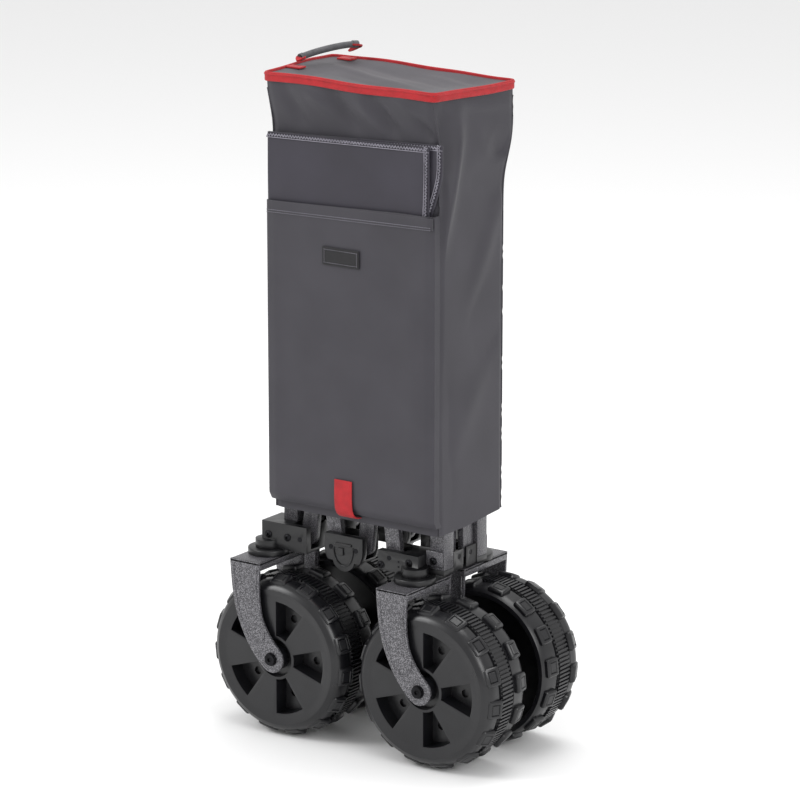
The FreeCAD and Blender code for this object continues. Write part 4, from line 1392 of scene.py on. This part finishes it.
    def pocket(self) -> None:
        """The front pocket: a panel with soft returns at its sides and a bound top hem."""
        low, high = self.pocket_low, self.pocket_high
        left, right = self.left_at_front, high.x
        bpy.ops.object.select_all(action="DESELECT")
        bpy.ops.mesh.primitive_grid_add(x_subdivisions=100, y_subdivisions=90, size=1)
        panel = place_in_mesh(bpy.context.object)
        creases = [
            Crease((-0.11, low.z + 0.02), (-0.02, low.z + 0.05), 1.5 * MM, 16 * MM),
            Crease((0.02, high.z - 0.03), (0.09, high.z - 0.12), -1.4 * MM, 20 * MM),
            Crease((0.08, low.z + 0.02), (0.07, low.z + 0.30), 1.2 * MM, 15 * MM),
            Crease((-0.12, high.z - 0.05), (-0.10, high.z - 0.30), -1.0 * MM, 16 * MM),
        ]
        wrap = self.pocket_return
        for vertex in panel.data.vertices:
            across, up = vertex.co.x + 0.5, vertex.co.y + 0.5
            run = -wrap + (right - left + 2 * wrap) * across
            z = low.z + (high.z - low.z) * up
            x = left + min(max(run, 0.0), right - left)
            back = max(-run, 0.0) + max(run - (right - left), 0.0)
            soft = smoothstep(0, 14 * MM, min(max(run, 0.0), max(right - left - run, 0.0)))
            y = low.y + back + 2 * MM * (1 - soft)
            y -= (sum(c.lift(x, z) for c in creases) + noise.noise(Vector((x * 8, 2.0, z * 6))) * 1.0 * MM) * soft
            gape = 1.5 * MM * smoothstep(high.z - 0.03, high.z, z) * soft
            floor = smoothstep(low.z + 0.012, low.z, z)
            y += 5 * MM * floor * floor - gape
            slope = 9 * MM * (1 - across) * smoothstep(high.z - 0.02, high.z, z)
            vertex.co = (x, min(y, self.high.y), z - slope + 4 * MM * smoothstep(0, 1, up))
        self.trim_to(panel, high.z)
        apply_modifier(panel, "SOLIDIFY", thickness=self.panel_cloth, offset=-1)
        outward(panel)
        smooth(panel, 50)
        hem = self.pocket_hem(left, right)
        piece = joined([panel, hem], "pocket_cloth")
        settle(piece, "cover", self.finishes.cover, "cover_cloth", "front_pocket")
        self.pocket_stitches(left, right)

    def trim_to(self, panel: Piece, top: float) -> None:
        """Keep a panel's points under a height."""
        for vertex in panel.data.vertices:
            vertex.co.z = min(vertex.co.z, top + 2 * MM)

    def pocket_top(self, x: float) -> float:
        """The height of the pocket's hem at X; it rises towards the right."""
        share = (x - self.left_at_front) / (self.high.x - self.left_at_front)
        return self.pocket_high.z - 5 * MM * (1 - share) + 1 * MM

    def pocket_hem(self, left: float, right: float) -> Piece:
        """The pocket's turned top hem, a flat roll of cloth.

        Args:
            left: The pocket's left edge.
            right: Its right edge.

        Returns:
            The hem.
        """
        points = []
        for number in range(13):
            x = left + 3.5 * MM + (right - left - 4.5 * MM) * number / 12
            points.append(Vector((x, self.low.y - 0.6 * MM, self.pocket_top(x) - 7 * MM)))
        return tube_along("pocket_hem", points, 1.0 * MM, flat=6 * MM, steps=4)

    def pocket_stitches(self, left: float, right: float) -> None:
        """Two rows of topstitching along the pocket's hem.

        Args:
            left: The pocket's left edge.
            right: Its right edge.
        """
        rows = []
        for drop in (11.2 * MM, 14 * MM):
            line = [Vector((left + 3 * MM + (right - left - 6 * MM) * n / 40, self.low.y - 1.7 * MM,
                            self.pocket_top(left + (right - left) * n / 40) - drop)) for n in range(41)]
            rows.append(stitch_row(line, 3.2 * MM, 2.2 * MM, 0.32 * MM))
        settle(joined(rows, "pocket_stitches"), "cover", self.finishes.thread, "cover_cloth")

    def mat_layer(self, name: str, left: float, right: float, y: float, tops: tuple[float, float],
                  lean: float) -> Piece:
        """One folded layer of the padded floor mat.

        Args:
            name: The piece's name.
            left: Its left edge.
            right: Its right edge at the top.
            y: The middle of its thickness.
            tops: The heights of its top edge at the left and the right.
            lean: How much narrower it is at the bottom.

        Returns:
            The layer.
        """
        bottom = self.mat_low.z
        bpy.ops.object.select_all(action="DESELECT")
        bpy.ops.mesh.primitive_grid_add(x_subdivisions=70, y_subdivisions=60, size=1)
        layer = place_in_mesh(bpy.context.object)
        pocket_top = self.pocket_high.z
        for vertex in layer.data.vertices:
            across, up = vertex.co.x + 0.5, vertex.co.y + 0.5
            top = tops[0] + (tops[1] - tops[0]) * across
            z = bottom + (top - bottom) * (1 - (1 - up) ** 1.6)
            narrow = lean * smoothstep(pocket_top + 0.06, pocket_top - 0.03, z)
            x = left + (right - narrow - left) * across
            edge = min(across, 1 - across) * (right - left)
            puff = 1.2 * MM * smoothstep(0, 22 * MM, edge) * smoothstep(0, 22 * MM, top - z)
            wave = noise.noise(Vector((x * 11, y * 40, z * 11))) * 0.9 * MM
            curl = 1.6 * MM * smoothstep(0.75, 1.0, across) * smoothstep(pocket_top, top, z)
            vertex.co = (x, y - puff * 0.5 - wave - curl, z)
        apply_modifier(layer, "SOLIDIFY", thickness=self.mat_cloth, offset=0)
        outward(layer)
        apply_modifier(layer, "BEVEL", width=1.1 * MM, segments=2, limit_method="ANGLE",
                       angle_limit=math.radians(50))
        smooth(layer, 60)
        layer.name = name
        return layer

    def mat(self) -> None:
        """The padded floor mat, folded in two layers behind the pocket, with overlocked edges."""
        left = self.left_at_front + 1 * MM
        high = self.mat_high.z
        front_y, back_y = self.mat_low.y + 2.6 * MM, self.mat_high.y - 2.2 * MM
        front_tops, back_tops = (high - 9 * MM, high - 3 * MM), (high - 10 * MM, high)
        front_right, back_right = self.mat_front_right, self.mat_high.x + 3 * MM
        lean = self.mat_lean
        front = self.mat_layer("mat_front_layer", left, front_right, front_y, front_tops, 2 * MM)
        back = self.mat_layer("mat_back_layer", left + 2 * MM, back_right, back_y, back_tops, lean)
        mat = joined([front, back], "floor_mat_padded")
        settle(mat, "cover", self.finishes.mat, "mat_cloth", "floor_mat")
        threads = []
        pocket_top = self.pocket_high.z
        for right, y, tops, narrow in ((front_right, front_y - 2.3 * MM, front_tops, 2 * MM),
                                       (back_right, back_y - 2.3 * MM, back_tops, lean)):
            top_line = [Vector((left + (right - left) * n / 60, y - 0.8 * MM,
                                tops[0] + (tops[1] - tops[0]) * n / 60)) for n in range(61)]
            threads.append(overlock(top_line, Vector((0, 0, -1)), self.overlock_depth, self.overlock_pitch))
            side_line = []
            for n in range(31):
                z = tops[1] - (tops[1] - pocket_top + 8 * MM) * n / 30
                shift = narrow * smoothstep(pocket_top + 0.06, pocket_top - 0.03, z)
                side_line.append(Vector((right - shift, y - 1.4 * MM, z)))
            threads.append(overlock(side_line, Vector((-1, 0, 0)), self.overlock_depth, self.overlock_pitch))
        settle(joined(threads, "mat_overlock"), "cover", self.finishes.thread, "mat_cloth")

    def lid_height(self, x: float, y: float) -> float:
        """The height of the lid at a place on it, with its waves and its low corner.

        Args:
            x: The place's X.
            y: Its Y.

        Returns:
            The Z there.
        """
        share_x = (x - self.low.x) / (self.high.x - self.low.x)
        share_y = (y - self.low.y) / (self.high.y - self.low.y)
        wave = noise.noise(Vector((x * 14, y * 14, 0.3))) * 2.2 * MM
        return self.lid_high.z - 0.5 * MM - self.corner_fall(share_x, share_y) + wave

    def corner_fall(self, share_x: float, share_y: float) -> float:
        """How far the lid hangs lower away from the grip inside, at shares of the lid's sides."""
        return 7 * MM * smoothstep(0.0, 1.0, share_x) * (0.1 + 0.9 * smoothstep(0.0, 1.0, share_y))

    def lid(self) -> None:
        """The lid's cloth, a little slack, with folds that run from its left to its right end."""
        low, high = self.lid_low, self.lid_high
        bpy.ops.object.select_all(action="DESELECT")
        bpy.ops.mesh.primitive_grid_add(x_subdivisions=90, y_subdivisions=60, size=1)
        lid = place_in_mesh(bpy.context.object)
        folds = [
            Crease((-0.11, 0.030), (0.05, -0.030), 2.4 * MM, 9 * MM),
            Crease((-0.08, 0.050), (0.08, 0.000), -1.8 * MM, 10 * MM),
            Crease((-0.06, -0.020), (0.06, -0.055), -1.6 * MM, 8 * MM),
            Crease((0.00, 0.055), (0.095, 0.030), 1.8 * MM, 9 * MM),
        ]
        for vertex in lid.data.vertices:
            share_x, share_y = vertex.co.x + 0.5, vertex.co.y + 0.5
            y = low.y + (high.y - low.y) * share_y
            left = self.left_edge(y)
            right = high.x + self.lid_reach_right * smoothstep(0.1, 0.9, share_y)
            y += self.lid_reach_back * smoothstep(0.5, 1.0, share_x) * smoothstep(0.3, 1.0, share_y)
            x = left + (right - left) * share_x
            edge = smoothstep(0, 0.2, min(share_x, 1 - share_x)) * smoothstep(0, 0.25, min(share_y, 1 - share_y))
            z = self.lid_height(x, y) - self.lid_slack * edge + sum(f.lift(x, y) for f in folds) * edge
            vertex.co = (x, y, z)
        apply_modifier(lid, "SOLIDIFY", thickness=self.panel_cloth, offset=-1)
        outward(lid)
        smooth(lid, 60)
        lid.name = "lid_cloth"
        settle(lid, "cover", self.finishes.lid, "lid_cloth", "cover_lid")

    def rim(self, count: int, drop: float, out: float) -> list[Vector]:
        """Points around the lid's rim.

        Args:
            count: Points along each side.
            drop: How far they lie under the rim.
            out: How far outside it.

        Returns:
            The points, once round.
        """
        low, high = self.lid_low, self.lid_high
        corners = [Vector((self.left_edge(low.y), low.y, 0)), Vector((high.x, low.y, 0)),
                   Vector((high.x + self.lid_reach_right, high.y + self.lid_reach_back, 0)),
                   Vector((self.left_edge(high.y), high.y, 0))]
        middle = sum(corners, Vector()) / 4
        points = []
        for number, corner in enumerate(corners):
            after = corners[(number + 1) % 4]
            for step in range(count):
                share = 0.02 + 0.96 * step / (count - 1)
                place = corner.lerp(after, share)
                away = place - middle
                place += Vector((math.copysign(out, away.x) if number % 2 else 0,
                                 math.copysign(out, away.y) if not number % 2 else 0, 0))
                place.z = self.lid_height(place.x, place.y) - drop
                points.append(place)
        return points

    def binding(self) -> None:
        """The red binding that wraps the lid's edge, with its row of stitches."""
        band = tube_along("lid_binding", self.rim(14, 2.6 * MM, 1.2 * MM), 1.4 * MM, flat=4.2 * MM, closed=True,
                          steps=4)
        flange = tube_along("lid_flange", self.rim(14, -0.3 * MM, -2.6 * MM), 1.2 * MM, closed=True, steps=4)
        piece = joined([band, flange], "lid_binding")
        smooth(piece, 60)
        settle(piece, "cover", self.finishes.red, "red_webbing", "lid_piping")

    def label(self) -> None:
        """A plain woven patch with a thin border, and no lettering."""
        low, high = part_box("blank_label")
        centre, size = (low + high) / 2, high - low
        centre.y = self.low.y - 1.6 * MM
        patch = rounded_block(centre, Vector((size.x, 1.6 * MM, size.z)), 0.6 * MM, 2)
        patch.name = "label_patch"
        settle(patch, "cover", self.finishes.label, "label_patch", "blank_label")
        wide, tall = size.x / 2 - 3 * MM, size.z / 2 - 3 * MM
        corners = [centre + Vector((across * wide, -1 * MM, up * tall))
                   for across, up in ((-1, -1), (1, -1), (1, 1), (-1, 1))]
        lines = []
        for number, corner in enumerate(corners):
            after = corners[(number + 1) % 4]
            lines.append(stitch_row([corner.lerp(after, n / 8) for n in range(9)], 2.4 * MM, 1.7 * MM, 0.22 * MM))
        settle(joined(lines, "label_stitches"), "cover", self.finishes.thread, "label_patch")

    def pull_tab(self) -> None:
        """The red tab, sewn to the pocket's foot and turned under the hem."""
        low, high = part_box("pull_tab")
        front = self.low.y - 1.8 * MM
        foot = low.z - 2 * MM
        route = [(front, high.z), (front - 0.4 * MM, (high.z + foot) / 2), (front - 0.6 * MM, foot + 9 * MM),
                 (front + 1 * MM, foot + 3 * MM), (front + 5 * MM, foot - 1 * MM), (front + 13 * MM, foot - 2 * MM)]
        bpy.ops.object.select_all(action="DESELECT")
        bpy.ops.mesh.primitive_plane_add(size=1)
        tab = place_in_mesh(bpy.context.object)
        first, second = route[0], route[1]
        for vertex in tab.data.vertices:
            y, z = first if vertex.co.y > 0 else second
            vertex.co = (low.x + (high.x - low.x) * (vertex.co.x + 0.5), y, z)
        select_edges(tab, lambda edge: all(abs(tab.data.vertices[v].co.z - second[1]) < 1e-6
                                           for v in edge.vertices))
        for before, after in zip(route[1:], route[2:]):
            bpy.ops.mesh.extrude_region_move(
                TRANSFORM_OT_translate={"value": (1.2 * MM, after[0] - before[0], after[1] - before[1])})
        bpy.ops.mesh.select_all(action="SELECT")
        bpy.ops.mesh.subdivide(number_cuts=3, smoothness=0.6)
        leave_edit()
        apply_modifier(tab, "SOLIDIFY", thickness=1.4 * MM, offset=0)
        apply_modifier(tab, "BEVEL", width=0.4 * MM, segments=2, limit_method="ANGLE", angle_limit=math.radians(50))
        outward(tab)
        smooth(tab, 50)
        tab.name = "pull_tab_webbing"
        settle(tab, "cover", self.finishes.red, "red_webbing", "pull_tab")

    def carry_strap(self) -> None:
        """The carry strap: red webbing ends and a grey sleeve, standing up from the lid's left end."""
        low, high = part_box("carry_strap")
        radius = self.strap_radius
        start = low + Vector((radius, radius, radius))
        end = start + Vector(self.strap_run)
        rise = high.z - radius - start.z
        stations = [(0, 0), (0.06, 0.30), (0.25, 0.55), (0.6, 0.83), (0.85, 0.98), (0.98, 0.9), (1.04, 0.55), (1, 0)]
        points = [start.lerp(end, along) + Vector((self.strap_lean * up * along ** 2, 0, rise * up))
                  for along, up in stations]
        sleeve = tube_along("strap_sleeve", points[1:6], 3.9 * MM, steps=10)
        cuffs = [tube_along("cuff", [points[1].lerp(points[2], a) for a in (0.0, 0.15, 0.3)], 4.6 * MM, steps=4),
                 tube_along("cuff", [points[4].lerp(points[5], a) for a in (0.4, 0.7, 1.0)], 4.6 * MM, steps=4)]
        grip = joined([sleeve, *cuffs], "strap_sleeve")
        smooth(grip, 50)
        settle(grip, "strap", self.finishes.strap, "strap_webbing", "carry_strap")
        near = flat_band([*points[:2], points[1].lerp(points[2], 0.3)], [4 * MM, 12 * MM, 14 * MM], 2.0 * MM)
        far = flat_band(points[4:], [16 * MM, 18 * MM, 14 * MM, 4 * MM], 2.0 * MM)
        ends = joined([near, far], "strap_webbing_ends")
        smooth(ends, 50)
        settle(ends, "strap", self.finishes.red, "red_webbing")
        self.anchors()

    def anchors(self) -> None:
        """The red webbing patches that sew the strap's ends to the lid."""
        low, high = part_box("strap_anchors")
        patches = []
        for x, y in ((low.x + 12 * MM, low.y + 7 * MM), (high.x - 12 * MM, high.y - 7 * MM)):
            z = self.lid_height(x, y) + 1.0 * MM
            patches.append(rounded_block(Vector((x, y, z)), Vector(self.anchor_size), 0.7 * MM, 2))
        settle(joined(patches, "strap_anchor_patches"), "cover", self.finishes.red, "red_webbing", "strap_anchors")


def flat_band(points: list[Vector], widths: list[float], thickness: float) -> Piece:
    """A flat band that follows points, its width along X.

    Args:
        points: Control points of its middle line.
        widths: Its width at each control point.
        thickness: Its thickness.

    Returns:
        The band.
    """
    bpy.ops.object.select_all(action="DESELECT")
    bpy.ops.mesh.primitive_plane_add(size=1)
    band = place_in_mesh(bpy.context.object)
    for vertex in band.data.vertices:
        end = 0 if vertex.co.y < 0 else 1
        vertex.co = points[end] + Vector((widths[end] * vertex.co.x, 0, 0))

    def at_the_end(edge: bpy.types.MeshEdge) -> bool:
        """Say whether an edge of the plane lies across the second control point."""
        one, other = (band.data.vertices[number].co for number in edge.vertices)
        return ((one + other) / 2 - points[1]).length < 1e-5

    select_edges(band, at_the_end)
    for number in range(2, len(points)):
        bpy.ops.mesh.extrude_region_move(
            TRANSFORM_OT_translate={"value": points[number] - points[number - 1]})
        bpy.ops.transform.resize(value=(widths[number] / widths[number - 1], 1, 1), center_override=points[number])
    leave_edit()
    apply_modifier(band, "SUBSURF", levels=2, render_levels=2)
    apply_modifier(band, "SOLIDIFY", thickness=thickness, offset=0)
    outward(band)
    return band


def small_stitch(radius: float, length: float) -> Piece:
    """One raised stitch along X: a six-sided thread with pinched ends.

    Args:
        radius: The thread's radius.
        length: The stitch's length.

    Returns:
        The stitch about the origin.
    """
    bpy.ops.object.select_all(action="DESELECT")
    bpy.ops.mesh.primitive_cylinder_add(vertices=6, radius=radius, depth=length * 0.6,
                                        rotation=(0, math.pi / 2, 0), end_fill_type="NGON")
    stitch = place_in_mesh(bpy.context.object)
    select_faces(stitch, lambda face: abs(face.normal.x) > 0.9)
    bpy.ops.mesh.extrude_faces_move(TRANSFORM_OT_shrink_fatten={"value": length * 0.2})
    bpy.ops.transform.resize(value=(1, 0.4, 0.4), center_override=(0, 0, 0))
    leave_edit()
    return stitch


def stitch_row(line: list[Vector], pitch: float, length: float, radius: float) -> Piece:
    """A row of stitches along a line of points.

    Args:
        line: Points close together.
        pitch: The distance from stitch to stitch.
        length: A stitch's length.
        radius: The thread's radius.

    Returns:
        The row as one piece.
    """
    model = small_stitch(radius, length)
    row = []
    left = 0.0
    for before, after in zip(line, line[1:]):
        run = after - before
        while left < run.length:
            turn = run.to_track_quat("X", "Z").to_matrix().to_4x4()
            row.append(moved_copy(model, Matrix.Translation(before + run.normalized() * left) @ turn))
            left += pitch
        left -= run.length
    hide_away(model)
    return joined(row, "stitches")


def overlock(line: list[Vector], inward: Vector, depth: float, pitch: float) -> Piece:
    """An overlocked edge: slanted threads across the edge and a chain along it.

    Args:
        line: Points along the edge.
        inward: The way into the cloth.
        depth: How far the threads reach in.
        pitch: The distance between threads.

    Returns:
        The threads as one piece.
    """
    zigzag = []
    total = sum((b - a).length for a, b in zip(line, line[1:]))
    count = int(total / pitch)
    for number in range(count):
        place = line_point(line, number / count)
        zigzag.append(place + inward * (0.2 * MM if number % 2 else depth))
    threads = [tube_along("overlock", zigzag, 0.7 * MM, steps=2)]
    chain = [line_point(line, n / 50) + inward * depth for n in range(51)]
    threads.append(tube_along("overlock_chain", chain, 0.5 * MM, steps=2))
    return joined(threads, "overlock")


def line_point(line: list[Vector], share: float) -> Vector:
    """The point at a share of the way along a line of evenly spaced points.

    Args:
        line: The points.
        share: 0 at the first point, 1 at the last.

    Returns:
        The point.
    """
    place = share * (len(line) - 1)
    number = min(int(place), len(line) - 2)
    return line[number].lerp(line[number + 1], place - number)


# ---------------------------------------------------------------- studio

@dataclass
class Studio:
    """A pale floor, soft lights and a long-lens camera."""

    azimuth: float = 34.89
    elevation: float = 14.5
    distance: float = 4.754
    lens: float = 181.1
    target: tuple[float, float, float] = (0.00009, 0.00983, 0.41042)
    sensor: float = 36
    floor_size: float = 30
    surround: float = 0.85

    def build(self) -> None:
        """Set the stage, the lights and the camera."""
        self.floor()
        self.lights()
        self.camera()

    def floor(self) -> None:
        """A plain pale floor."""
        bpy.ops.object.select_all(action="DESELECT")
        bpy.ops.mesh.primitive_plane_add(size=self.floor_size)
        floor = bpy.context.object
        floor.name = "studio_floor"
        material, _, shader, _ = new_material("Studio floor, pale")
        shader.inputs["Base Color"].default_value = linear("F4F4F4")
        shader.inputs["Roughness"].default_value = 0.9
        floor.data.materials.append(material)

    def lights(self) -> None:
        """Three soft area lights and an even white surround."""
        world = bpy.data.worlds.new("Studio")
        bpy.context.scene.world = world
        world.use_nodes = True
        background = world.node_tree.nodes["Background"]
        background.inputs["Color"].default_value = linear("FFFFFF")
        background.inputs["Strength"].default_value = self.surround
        bpy.context.scene.view_settings.view_transform = "Standard"
        for name, place, size, power in (("key", (-2.4, -2.6, 3.0), 1.6, 80), ("fill", (3.6, -1.4, 2.2), 1.8, 60),
                                         ("top", (0.2, 0.8, 3.6), 2.0, 50)):
            lamp = bpy.data.lights.new(name, "AREA")
            lamp.energy = power
            lamp.size = size
            holder = bpy.data.objects.new(name, lamp)
            holder.location = place
            aim = Vector((0, 0, 0.4)) - Vector(place)
            holder.rotation_euler = aim.to_track_quat("-Z", "Y").to_euler()
            bpy.context.scene.collection.objects.link(holder)

    def camera(self) -> None:
        """A long lens from the front right, a little above."""
        azimuth, elevation = math.radians(self.azimuth), math.radians(self.elevation)
        back = Vector((math.sin(azimuth) * math.cos(elevation), -math.cos(azimuth) * math.cos(elevation),
                       math.sin(elevation)))
        data = bpy.data.cameras.new("camera")
        data.lens = self.lens
        data.sensor_width = self.sensor
        data.clip_end = 50
        camera = bpy.data.objects.new("camera", data)
        camera.location = Vector(self.target) + back * self.distance
        camera.rotation_euler = (-back).to_track_quat("-Z", "Y").to_euler()
        bpy.context.scene.collection.objects.link(camera)
        bpy.context.scene.camera = camera


def main() -> None:
    """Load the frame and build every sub-assembly."""
    logging.basicConfig(level=logging.INFO, format="%(name)s: %(message)s")
    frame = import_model()
    finishes = Finishes.make()
    RunningGear(finishes).build()
    FrameParts(finishes, frame["nodes"]).build()
    Cover(finishes).build()
    Studio().build()


if __name__ == "__main__":
    main()
